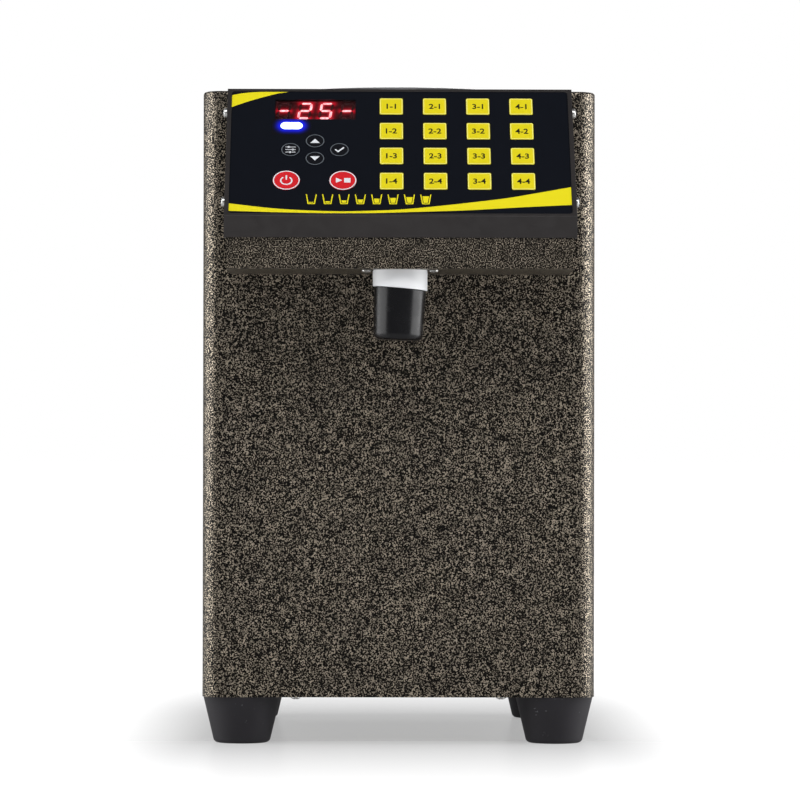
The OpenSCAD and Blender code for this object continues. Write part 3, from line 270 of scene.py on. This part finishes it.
def spun_steel():
    """Stainless sheet brushed in rings round the tank's axis."""
    finish = Finish("spun_steel")
    low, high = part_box("tank")
    offset = finish.vector("SUBTRACT", finish.place, (low + high) / 2)
    radius = finish.length(finish.vector("MULTIPLY", offset, (1, 1, 0)))
    inputs = {"W": radius, "Scale": 2600, "Detail": 3.0}
    rings = finish.node("TexNoise", inputs, noise_dimensions="1D").outputs["Fac"]
    patch = finish.noise(25, detail=3.0)
    finish.set(Base_Color=finish.blend(rings, paint(196, 197, 198), paint(222, 222, 223)), Metallic=1.0)
    finish.set(Roughness=finish.spread(patch, 0.3, 0.7, 0.24, 0.34))
    finish.set(Normal=finish.bump(rings, 0.12, 0.04 * MM))
    return finish.material


def smoked_window():
    """Clear smoked plastic over the digits."""
    finish = Finish("smoked_window")
    finish.set(Base_Color=finish.blend(finish.noise(60), paint(225, 215, 217), paint(232, 224, 226)))
    finish.set(Roughness=0.02)
    finish.shader.inputs["Transmission Weight"].default_value = 1.0
    finish.shader.inputs["IOR"].default_value = 1.2
    finish.shader.inputs["Specular IOR Level"].default_value = 0.15
    return finish.material


def lit(name, colour, core, strength):
    """A lit piece: paler where it burns brightest."""
    finish = Finish(name)
    patch = finish.spread(finish.noise(500), 0.35, 0.65)
    finish.set(Base_Color=colour, Roughness=0.4, Emission_Color=finish.blend(patch, colour, core))
    finish.shader.inputs["Emission Strength"].default_value = strength
    return finish.material


def glow(name, ground, colour, strength, roughness, specular):
    """A sheet that glows with a painted halo where its own "glow" values say, over a dark ground."""
    finish = Finish(name)
    share = finish.node("Attribute", attribute_name="glow").outputs["Fac"]
    mottle = finish.spread(finish.noise(300), 0.2, 0.8, 0.92, 1.08)
    cloud = finish.noise(90, detail=3.0)
    finish.set(Base_Color=finish.blend(cloud, ground, ground), Roughness=roughness)
    finish.set(Emission_Color=finish.blend(share, (0, 0, 0, 1), colour))
    finish.set(Emission_Strength=finish.math("MULTIPLY", mottle, strength))
    finish.shader.inputs["Specular IOR Level"].default_value = specular
    return finish.material


def circuit():
    """Green solder mask with fine copper tracks under it."""
    finish = Finish("circuit")
    wave = finish.node("TexWave", {"Vector": finish.place, "Scale": 90, "Distortion": 3.0})
    track = finish.spread(wave.outputs["Fac"], 0.42, 0.5)
    finish.set(Base_Color=finish.blend(track, paint(14, 74, 44), paint(26, 104, 62)), Roughness=0.35)
    finish.set(Normal=finish.bump(track, 0.2, 0.05 * MM))
    return finish.material


FINISHES = {
    "hammertone": hammertone(),
    "rubber": foot_rubber(),
    "zinc": metal("zinc", paint(214, 214, 212), 0.26),
    "bezel_plastic": moulded(
        "bezel_plastic", paint(34, 31, 31), paint(39, 35, 35), 0.42, grain=1300, relief=0.2
    ),
    "overlay_film": film("overlay_film", paint(13, 16, 23), paint(15, 18, 26), specular=0.12),
    "window": smoked_window(),
    "black_plastic": moulded("black_plastic", paint(24, 24, 25), paint(32, 32, 34), 0.45),
    "bars_lit": lit("bars_lit", paint(255, 140, 150), paint(255, 215, 215), 1.7),
    "bars_dark": moulded("bars_dark", paint(58, 14, 18), paint(70, 16, 22), 0.4),
    "lamp": lit("lamp", paint(190, 215, 255), paint(245, 250, 255), 1.6),
    "board": circuit(),
    "yellow_key": film("yellow_key", paint(226, 210, 12), paint(234, 218, 30), 0.38, 0.3),
    "dark_key": film("dark_key", paint(14, 15, 20), paint(20, 21, 27)),
    "red_key": film("red_key", paint(206, 26, 36), paint(220, 34, 44), 0.38, 0.3),
    "stainless": spun_steel(),
    "grip_plastic": moulded("grip_plastic", paint(22, 22, 24), paint(30, 30, 32), 0.38),
    "silicone": moulded("silicone", paint(222, 222, 216), paint(236, 236, 230), 0.4, relief=0.05),
    "cast_alloy": metal("cast_alloy", paint(190, 190, 192), 0.38, grain=1400, relief=0.25),
    "gear_brass": metal("gear_brass", paint(208, 172, 92), 0.3, stretch=(1, 0.1, 1)),
    "motor_can": metal("motor_can", paint(120, 124, 130), 0.4, stretch=(1, 0.1, 1)),
    "white_plastic": moulded(
        "white_plastic", paint(240, 242, 244), paint(246, 247, 249), 0.35, relief=0.05
    ),
    "red_rocker": moulded("red_rocker", paint(190, 22, 24), paint(204, 28, 30), 0.28, relief=0.04),
    "psu_case": metal("psu_case", paint(196, 198, 200), 0.36, stretch=(1, 0.08, 1)),
}
CAP_BLACK = moulded(
    "cap_black", paint(6, 6, 9), paint(9, 9, 13), 0.26, grain=700, relief=0.05, edge=0.6, specular=0.28
)
TANK_STEEL = metal("tank_steel", paint(210, 211, 213), 0.3, stretch=(1, 1, 0.04), grain=1500)


def ink(name, colour, other):
    """A printing ink, with the same sheen whatever its colour."""
    return film(name, colour, other, roughness=0.4, specular=0.3)


YELLOW_INK = ink("yellow_ink", paint(234, 220, 14), paint(240, 226, 30))
PALE_YELLOW_INK = ink("pale_yellow_ink", paint(246, 240, 120), paint(250, 244, 140))
WHITE_INK = ink("white_ink", paint(226, 230, 236), paint(236, 239, 244))
GREY_INK = ink("grey_ink", paint(92, 99, 106), paint(110, 117, 124))
BLACK_INK = ink("black_ink", paint(12, 14, 10), paint(18, 20, 14))


def dress_nodes():
    """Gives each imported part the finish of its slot, but the cap, tank and outlet their own."""
    own = {"nozzle_cap": CAP_BLACK, "tank": TANK_STEEL, "tank_outlet": TANK_STEEL}
    slots = {row["node"]: row["material_slot"] for row in frame["record"]["subparts"]}
    for name, part in frame["nodes"].items():
        material = own.get(name) or FINISHES[slots[name]]
        for place in part.material_slots:
            place.link = "OBJECT"
            place.material = material


# ---- Printed pieces ----


def place_piece(name, data, material, body):
    """Makes an object of a finished mesh, in one material, and lets it ride on a body."""
    data.materials.clear()
    data.materials.append(material)
    piece = bpy.data.objects.new(name, data)
    bpy.context.collection.objects.link(piece)
    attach(piece, body)
    return piece


def new_piece(name, builder, material, body, matrix=FACE):
    """Makes a mesh piece from a builder that fills a bmesh in metres, and lets it ride on a body."""
    mesh = bmesh.new()
    builder(mesh)
    bmesh.ops.recalc_face_normals(mesh, faces=mesh.faces)
    data = bpy.data.meshes.new(name)
    mesh.to_mesh(data)
    mesh.free()
    data.transform(matrix)
    return place_piece(name, data, material, body)


def prism(mesh, outline, low, high):
    """A flat solid: an outline of (across, down) points in millimetres between two heights in metres."""
    rings = []
    for z in (low, high):
        rings.append([mesh.verts.new((x * MM, -v * MM, z)) for x, v in outline])
    mesh.faces.new(rings[0])
    mesh.faces.new(rings[1])
    count = len(outline)
    for i in range(count):
        j = (i + 1) % count
        mesh.faces.new((rings[0][i], rings[0][j], rings[1][j], rings[1][i]))


def band(mesh, outer, inner, low, high):
    """A flat ring between two outlines with as many points each."""
    layers = []
    for z in (low, high):
        for outline in (outer, inner):
            layers.append([mesh.verts.new((x * MM, -v * MM, z)) for x, v in outline])
    low_out, low_in, high_out, high_in = layers
    count = len(outer)
    for i in range(count):
        j = (i + 1) % count
        mesh.faces.new((low_out[i], low_out[j], low_in[j], low_in[i]))
        mesh.faces.new((high_out[i], high_out[j], high_in[j], high_in[i]))
        mesh.faces.new((low_out[i], low_out[j], high_out[j], high_out[i]))
        mesh.faces.new((low_in[i], low_in[j], high_in[j], high_in[i]))


def disc(centre, radius, steps=48):
    """The outline of a circle."""
    turns = [2 * math.pi * i / steps for i in range(steps)]
    return [(centre[0] + radius * math.cos(a), centre[1] + radius * math.sin(a)) for a in turns]


def rounded(centre, width, height, radius, steps=6):
    """The outline of a rectangle with round corners."""
    points = []
    for corner, (sx, sv) in enumerate(((1, 1), (-1, 1), (-1, -1), (1, -1))):
        middle = (centre[0] + sx * (width / 2 - radius), centre[1] + sv * (height / 2 - radius))
        for i in range(steps + 1):
            a = math.pi / 2 * (corner + i / steps)
            points.append((middle[0] + radius * math.cos(a), middle[1] + radius * math.sin(a)))
    return points


def ink_range(depth):
    """Lowest and highest height of ink on a surface at that depth."""
    return -depth - INK, -depth + INK


def print_shapes(name, outlines, material, depth=FILM_DEPTH, body="root"):
    """Prints closed outlines as one piece."""

    def build(mesh):
        for outline in outlines:
            prism(mesh, outline, *ink_range(depth))

    return new_piece(name, build, material, body)


def print_band(name, outer, inner, material, depth, body, slot):
    """Prints a closed line between two outlines."""

    def build(mesh):
        band(mesh, outer, inner, *ink_range(depth))

    return new_piece(name, build, material, body)


def print_text(name, text, centre, size, material, depth, body, slot, stretch=1.0):
    """Prints plain figures in the built-in font, centred on a point of the panel."""
    curve = bpy.data.curves.new(name, "FONT")
    curve.body = text
    curve.size = size * MM
    curve.align_x = "CENTER"
    curve.align_y = "CENTER"
    curve.extrude = INK
    curve.offset = FIGURE_WEIGHT
    curve.resolution_u = 4
    shape = bpy.data.objects.new(name + "_curve", curve)
    bpy.context.collection.objects.link(shape)
    data = bpy.data.meshes.new_from_object(shape.evaluated_get(bpy.context.evaluated_depsgraph_get()))
    bpy.data.objects.remove(shape)
    data.transform(Matrix.Diagonal((stretch, 1, 1, 1)))
    xs = [vertex.co.x for vertex in data.vertices]
    ys = [vertex.co.y for vertex in data.vertices]
    middle = Vector(((min(xs) + max(xs)) / 2, (min(ys) + max(ys)) / 2, 0))
    data.transform(Matrix.Translation(Vector((centre[0] * MM, -centre[1] * MM, -depth)) - middle))
    data.transform(FACE)
    data.name = name
    place_piece(name, data, material, body)


def smooth_line(points, steps=8):
    """More points along a smooth line through a few."""
    line = []
    for i in range(len(points) - 1):
        p0 = Vector(points[max(i - 1, 0)])
        p1, p2 = Vector(points[i]), Vector(points[i + 1])
        p3 = Vector(points[min(i + 2, len(points) - 1)])
        for step in range(steps):
            t = step / steps
            square = (2 * p0 - 5 * p1 + 4 * p2 - p3) * t**2
            cube = (3 * p1 - p0 - 3 * p2 + p3) * t**3
            line.append(0.5 * (2 * p1 + (p2 - p0) * t + square + cube))
    line.append(Vector(points[-1]))
    return [tuple(p) for p in line]


def print_stripes():
    """The yellow wedge in the top corner and the yellow sweep along the bottom of the film."""
    wedge_top = [(-102, 5.4), (-95, 3.6), (-87, 2.6), (-78, 2.4), (-67.8, 2.5)]
    wedge_bottom = [(-73.8, 3.7), (-80, 5.9), (-87, 8.7), (-94.6, 12.1), (-102, 15.9)]
    sweep_top = [(-102, 99), (-73, 103.4), (-42, 105.4), (-19, 105.0)]
    sweep_top += [(8.4, 102.9), (57, 95.3), (81.6, 89.7), (101.8, 84.6)]
    sweep_bottom = [(101.8, 99.7), (73.2, 101.7), (39.9, 104.4), (6.6, 106.0)]
    sweep_bottom += [(-19, 107.0), (-42, 107.1), (-72.6, 106.4), (-102, 105.3)]
    for name, top, bottom in (
        ("wedge_print", wedge_top, wedge_bottom),
        ("sweep_print", sweep_top, sweep_bottom),
    ):
        print_shapes(name, [smooth_line(top) + smooth_line(bottom)], YELLOW_INK)


def dose_centre(col, row):
    return DOSE_FIRST[0] + (col - 1) * DOSE_PITCH[0], DOSE_FIRST[1] + (row - 1) * DOSE_PITCH[1]


def print_dose_keys():
    """A pale border and a plain number on each of the sixteen keys."""
    border = 0.55
    inset = 0.15
    inner_round = DOSE_ROUND - 0.4
    figure_size, figure_stretch = 6.1, 0.98
    size = DOSE_SIZE - 2 * inset
    within = size - 2 * border
    for col in range(1, 5):
        for row in range(1, 5):
            body = f"dose_key_{col}_{row}"
            centre = dose_centre(col, row)
            outer = rounded(centre, size, size, DOSE_ROUND)
            inner = rounded(centre, within, within, inner_round)
            on_key = (KEY_DEPTH, body, "yellow_key")
            print_band(f"border_{col}_{row}", outer, inner, PALE_YELLOW_INK, *on_key)
            number = (f"number_{col}_{row}", f"{col}-{row}", centre, figure_size, BLACK_INK)
            print_text(*number, *on_key, figure_stretch)


def triangle(centre, width, height):
    """A triangle that points up, or down if its height is negative."""
    x, v = centre
    return [(x - width / 2, v + height / 2), (x, v - height / 2), (x + width / 2, v + height / 2)]


def bar_outline(centre, width, height):
    x, v = centre
    return [
        (x - width / 2, v - height / 2),
        (x + width / 2, v - height / 2),
        (x + width / 2, v + height / 2),
        (x - width / 2, v + height / 2),
    ]


def arc_outline(centre, radius, width, start, end, steps=28):
    """Part of a ring, from one angle to another, in degrees clockwise from the top."""
    points = []
    for r in (radius + width / 2, radius - width / 2):
        run = []
        for i in range(steps + 1):
            a = math.radians(start + (end - start) * i / steps)
            run.append((centre[0] + r * math.sin(a), centre[1] - r * math.cos(a)))
        points += run if r > radius else run[::-1]
    return points


def print_round_keys():
    """A thin ring and a plain sign on each round key."""
    x, v = CLUSTER
    dx, dv = CLUSTER_STEP
    small = {
        "key_up": (x, v - dv),
        "key_down": (x, v + dv),
        "key_set": (x - dx, v),
        "key_save": (x + dx, v),
    }
    # How far inside a key's edge its ring starts and ends
    small_ring, large_ring = (0.15, 0.6), (0.1, 0.75)
    for body, centre in small.items():
        outer, inner = (disc(centre, SMALL_KEY / 2 - inset) for inset in small_ring)
        print_band(f"ring_{body}", outer, inner, GREY_INK, KEY_DEPTH, body, "dark_key")
    arrow_width, arrow_height = 5.8, 3.6
    for name, body, height in (
        ("sign_up", "key_up", arrow_height),
        ("sign_down", "key_down", -arrow_height),
    ):
        arrow = triangle(small[body], arrow_width, height)
        print_shapes(name, [arrow], WHITE_INK, KEY_DEPTH, body)
    cx, cv = small["key_set"]
    sliders = []
    for i, knob in enumerate((-1.2, 1.4, -0.2)):
        level = cv + (i - 1) * 2.2
        sliders.append(bar_outline((cx, level), 6.2, 0.45))
        sliders.append(bar_outline((cx + knob, level), 1.0, 1.5))
    print_shapes("sign_set", sliders, WHITE_INK, KEY_DEPTH, "key_set")
    cx, cv = small["key_save"]
    corners = [(-2.9, 0.1), (-2.2, -0.6), (-0.8, 0.9), (2.3, -2.2), (3.0, -1.5), (-0.8, 2.3)]
    tick = [(cx + a, cv + b) for a, b in corners]
    print_shapes("sign_save", [tick], WHITE_INK, KEY_DEPTH, "key_save")
    large = {"key_power": (x - LARGE_KEY_DX, LARGE_KEY_V), "key_stop": (x + LARGE_KEY_DX, LARGE_KEY_V)}
    for body, centre in large.items():
        outer, inner = (disc(centre, LARGE_KEY / 2 - inset) for inset in large_ring)
        print_band(f"ring_{body}", outer, inner, WHITE_INK, KEY_DEPTH, body, "red_key")
    cx, cv = large["key_power"]
    power = [arc_outline((cx, cv + 0.3), 3.3, 0.9, 35, 325), bar_outline((cx, cv - 2.3), 0.9, 3.8)]
    print_shapes("sign_power", power, WHITE_INK, KEY_DEPTH, "key_power")
    cx, cv = large["key_stop"]
    run = [(cx - 4.2, cv - 2.2), (cx - 0.4, cv), (cx - 4.2, cv + 2.2)]
    halt = bar_outline((cx + 2.6, cv), 3.8, 3.8)
    print_shapes("sign_stop", [run, halt], WHITE_INK, KEY_DEPTH, "key_stop")


def print_levels():
    """Eight small cups in a row low on the film, each fuller than the one before."""
    first, last, v = -57.9, 19.9, 99.0 - 3.7
    count = 8
    pitch = (last - first) / count
    height, top, foot, wall = 8.2, 6.6, 4.4, 0.65
    low, high = v + height / 2, v - height / 2
    gap = wall + 0.5
    base = gap / height
    least_fill, fill_range = 0.12, 0.7

    def side(share, inset=0.0):
        """Half the cup's width at a share of its height."""
        return (foot + (top - foot) * share) / 2 - inset

    shapes = []
    for i in range(count):
        x = first + pitch * (i + 0.5)
        left = [
            (x - side(1), high),
            (x - side(0), low),
            (x - side(0, wall), low - wall),
            (x - side(1, wall), high),
        ]
        shapes.append(left)
        shapes.append([(2 * x - a, b) for a, b in left])
        shapes.append(
            [
                (x - side(0), low),
                (x + side(0), low),
                (x + side(0, wall), low - wall),
                (x - side(0, wall), low - wall),
            ]
        )
        fill = least_fill + fill_range * (i + 1) / count
        shapes.append(
            [
                (x - side(base, gap), low - gap),
                (x + side(base, gap), low - gap),
                (x + side(fill, gap), low - fill * height),
                (x - side(fill, gap), low - fill * height),
            ]
        )
    print_shapes("level_print", shapes, YELLOW_INK)


def print_rocker_marks():
    """A bar and a ring on the two halves of the mains switch's rocker, which rests tilted."""
    joint = next(j for j in frame["record"]["behaviour"]["joints"] if j["name"] == "rocker_tilt")
    tilt = -math.radians(joint["range_deg"][1] / 2)
    rest = Matrix.Translation(joint["pos_m"]) @ Matrix.Rotation(tilt, 4, "X")
    facing_back = Matrix.Rotation(math.pi, 4, "Z") @ Matrix.Rotation(math.pi / 2, 4, "X")
    slope = math.atan2(ROCKER_NOSE - ROCKER_WAIST, ROCKER_END)
    out = ROCKER_WAIST + (ROCKER_NOSE - ROCKER_WAIST) * ROCKER_MARK_UP / ROCKER_END
    for name, side in (("rocker_on", 1), ("rocker_off", -1)):
        place = Matrix.Translation((0, side * ROCKER_MARK_UP, out))
        matrix = rest @ facing_back @ (place @ Matrix.Rotation(side * slope, 4, "X"))

        def build(mesh):
            if side > 0:
                prism(mesh, bar_outline((0, 0), 0.7, 3.4), -INK, INK)
            else:
                band(mesh, disc((0, 0), 1.8), disc((0, 0), 1.2), -INK, INK)

        new_piece(name, build, WHITE_INK, "switch_rocker", matrix)


# ---- Painted glow ----


def bar_lines():
    """The centre line of each lit bar, as two points in millimetres on the panel."""
    dx, dy = (DIGIT_W - BAR_W) / 2, (DIGIT_H - BAR_W) / 2
    middles = [(0, dy), (dx, dy / 2), (dx, -dy / 2), (0, -dy), (-dx, -dy / 2), (-dx, dy / 2), (0, 0)]
    lines = []
    for place, bars in enumerate(LIT_BARS):
        for bar in bars:
            mx, my = middles[bar]
            ends = ((0, dy / 2), (0, -dy / 2)) if bar % 3 else ((-dx, 0), (dx, 0))
            line = []
            for ex, ey in ends:
                y = my + ey
                x = mx + ex + y * math.tan(DIGIT_SLANT) + (place - 1.5) * DIGIT_PITCH
                line.append(Vector((CLUSTER[0] + x, DISPLAY_V - y)))
            lines.append(line)
    return lines


def distance_to(point, line):
    a, b = line
    run = b - a
    t = min(max((point - a).dot(run) / run.length_squared, 0), 1)
    return (point - a - run * t).length


def painted_halo_sheet(name, centre, size, depth, cell, value, material):
    """A thin closed sheet of small cells for a painted halo, with its "glow" worked out at each corner.
    """
    columns = round(size[0] / cell)
    rows = round(size[1] / cell)

    def build(mesh):
        layers = []
        for z in ink_range(depth):
            grid = []
            for j in range(rows + 1):
                v = centre[1] + size[1] * (j / rows - 0.5)
                xs = [centre[0] + size[0] * (i / columns - 0.5) for i in range(columns + 1)]
                grid.append([mesh.verts.new((x * MM, -v * MM, z)) for x in xs])
            layers.append(grid)
        for grid in layers:
            for j in range(rows):
                for i in range(columns):
                    mesh.faces.new((grid[j][i], grid[j][i + 1], grid[j + 1][i + 1], grid[j + 1][i]))
        low, high = layers
        for j in (0, rows):
            for i in range(columns):
                mesh.faces.new((low[j][i], low[j][i + 1], high[j][i + 1], high[j][i]))
        for i in (0, columns):
            for j in range(rows):
                mesh.faces.new((low[j][i], low[j + 1][i], high[j + 1][i], high[j][i]))

    piece = new_piece(name, build, material, "root")
    back = FACE.inverted()
    places = [back @ vertex.co for vertex in piece.data.vertices]
    values = [value(Vector((p.x / MM, -p.y / MM))) for p in places]
    piece.data.attributes.new("glow", "FLOAT", "POINT").data.foreach_set("value", values)
    return piece


def make_glow():
    """Painted halos of red light round the digits' bars and blue light round the lamp, on sheets that
    glow though they are no lamps.
    """
    # The red halo is painted light: a sheet over the bars glows where the bloom of the lit bars falls
    lines = bar_lines()

    def red(point):
        near = min(distance_to(point, line) for line in lines)
        halo = 0.95 * math.exp(-((near / 1.9) ** 2))
        haze = 0.2 * math.exp(-near / 2.6)
        return min(1.0, 0.012 + halo + haze)

    red_painted_halo = glow("red_painted_halo", paint(30, 8, 12), paint(214, 12, 40), 1.0, 0.5, 0.2)
    centre = (CLUSTER[0], DISPLAY_V)
    painted_halo_sheet("display_painted_halo", centre, WINDOW, GLOW_DEPTH, 0.35, red, red_painted_halo)

    # The blue halo round the lamp is painted light: a sheet on the film glows round the lamp
    half = (LAMP_SIZE[0] - LAMP_SIZE[1]) / 2
    core = (Vector((LAMP[0] - half, LAMP[1])), Vector((LAMP[0] + half, LAMP[1])))

    def blue(point):
        beyond = max(distance_to(point, core) - LAMP_SIZE[1] / 2, 0)
        return math.exp(-((beyond / 2.3) ** 2))

    blue_painted_halo = glow("blue_painted_halo", paint(14, 14, 20), paint(20, 30, 235), 1.0, 0.32, 0.15)
    centre = (LAMP[0], LAMP[1] + 1)
    sheet = (24, 13.5)
    painted_halo_sheet("lamp_painted_halo", centre, sheet, FILM_DEPTH, 0.4, blue, blue_painted_halo)


# ---- Studio ----


def make_floor():
    """A wide pale floor with a faint gloss, which glows, with a painted shadow: it glows less close to
    the case.
    """
    size = 30
    mesh = bpy.data.meshes.new("floor")
    corners = [(-size, -size, 0), (size, -size, 0), (size, size, 0), (-size, size, 0)]
    mesh.from_pydata(corners, [], [(0, 1, 2, 3)])
    floor = bpy.data.objects.new("floor", mesh)
    bpy.context.collection.objects.link(floor)
    finish = Finish("floor")
    # The painted shadow, a dim patch in the floor's glow, starts twice this far behind the front sheet,
    # and ends at the rear of the case
    back = 0.03
    # How many times faster the glow comes back out of the painted shadow at the sides than in front
    sideways_fall = 6
    middle = (HOUSING_LOW + HOUSING_HIGH) / 2
    half = (HOUSING_HIGH - HOUSING_LOW) / 2
    offset = finish.vector("SUBTRACT", finish.place, (0, middle.y + back, 0))
    offset = finish.vector("ABSOLUTE", offset)
    offset = finish.vector("SUBTRACT", offset, (half.x, half.y - back, 0))
    outside = finish.vector("MAXIMUM", offset)
    distance = finish.length(finish.vector("MULTIPLY", outside, (sideways_fall, 1, 0)))
    seen = finish.node("LightPath").outputs["Is Camera Ray"]
    share = finish.node("MapRange", {"Value": seen, "To Min": 0.4, "To Max": 1.0}).outputs["Result"]
    # The glow is dimmed close to the case as a painted contact shadow under and round it
    glow_with_painted_shadow = finish.math("MULTIPLY", share, finish.spread(distance, -0.25, 0.55, 0.2, 0.95))
    finish.set(Base_Color=(0.33, 0.33, 0.335, 1), Roughness=0.2, Emission_Color=(1, 1, 1, 1))
    finish.set(Emission_Strength=glow_with_painted_shadow)
    finish.shader.inputs["Specular IOR Level"].default_value = 0.5
    mesh.materials.append(finish.material)


def softbox(name, place, aim, size, power):
    """A rectangular light that points at a spot."""
    data = bpy.data.lights.new(name, "AREA")
    data.shape = "RECTANGLE"
    data.size, data.size_y = size
    data.energy = power
    light = bpy.data.objects.new(name, data)
    light.location = place
    light.rotation_mode = "QUATERNION"
    light.rotation_quaternion = (Vector(aim) - Vector(place)).to_track_quat("-Z", "Y")
    light.visible_camera = False
    bpy.context.collection.objects.link(light)


def make_world():
    """White behind everything, and dimmer where it lights the object."""
    world = bpy.data.worlds.new("room")
    world.use_nodes = True
    tree = world.node_tree
    seen = tree.nodes.new("ShaderNodeLightPath").outputs["Is Camera Ray"]
    strength = tree.nodes.new("ShaderNodeMapRange")
    room_light = 0.14
    strength.inputs["To Min"].default_value = room_light
    strength.inputs["To Max"].default_value = 1.0
    background = tree.nodes["Background"]
    background.inputs["Color"].default_value = (1, 1, 1, 1)
    tree.links.new(seen, strength.inputs["Value"])
    tree.links.new(strength.outputs["Result"], background.inputs["Strength"])
    bpy.context.scene.world = world


def make_lights():
    """A square soft light at each side, one in front and above, and one behind."""
    make_world()
    side_reach, side_y = 1.25, FRONT_Y - 0.1
    for name, side, power in (("left_light", -1, 20), ("right_light", 1, 27)):
        place = (side * side_reach, side_y, 0.45)
        softbox(name, place, (0, side_y, 0.2), (1.4, 1.4), power)
    softbox("key_light", (0, FRONT_Y - 1.5, 1.7), (0, FRONT_Y, 0.3), (1.6, 0.8), 18.6)
    softbox("back_light", (0, 2.3, 1.3), (0, 0.1, 0.25), (1.6, 1.0), 12.6)
    bpy.context.scene.view_settings.view_transform = "Standard"
    bpy.context.scene.view_settings.look = "None"


make_camera()
dress_nodes()
print_stripes()
print_dose_keys()
print_round_keys()
print_levels()
print_rocker_marks()
make_glow()
make_floor()
make_lights()
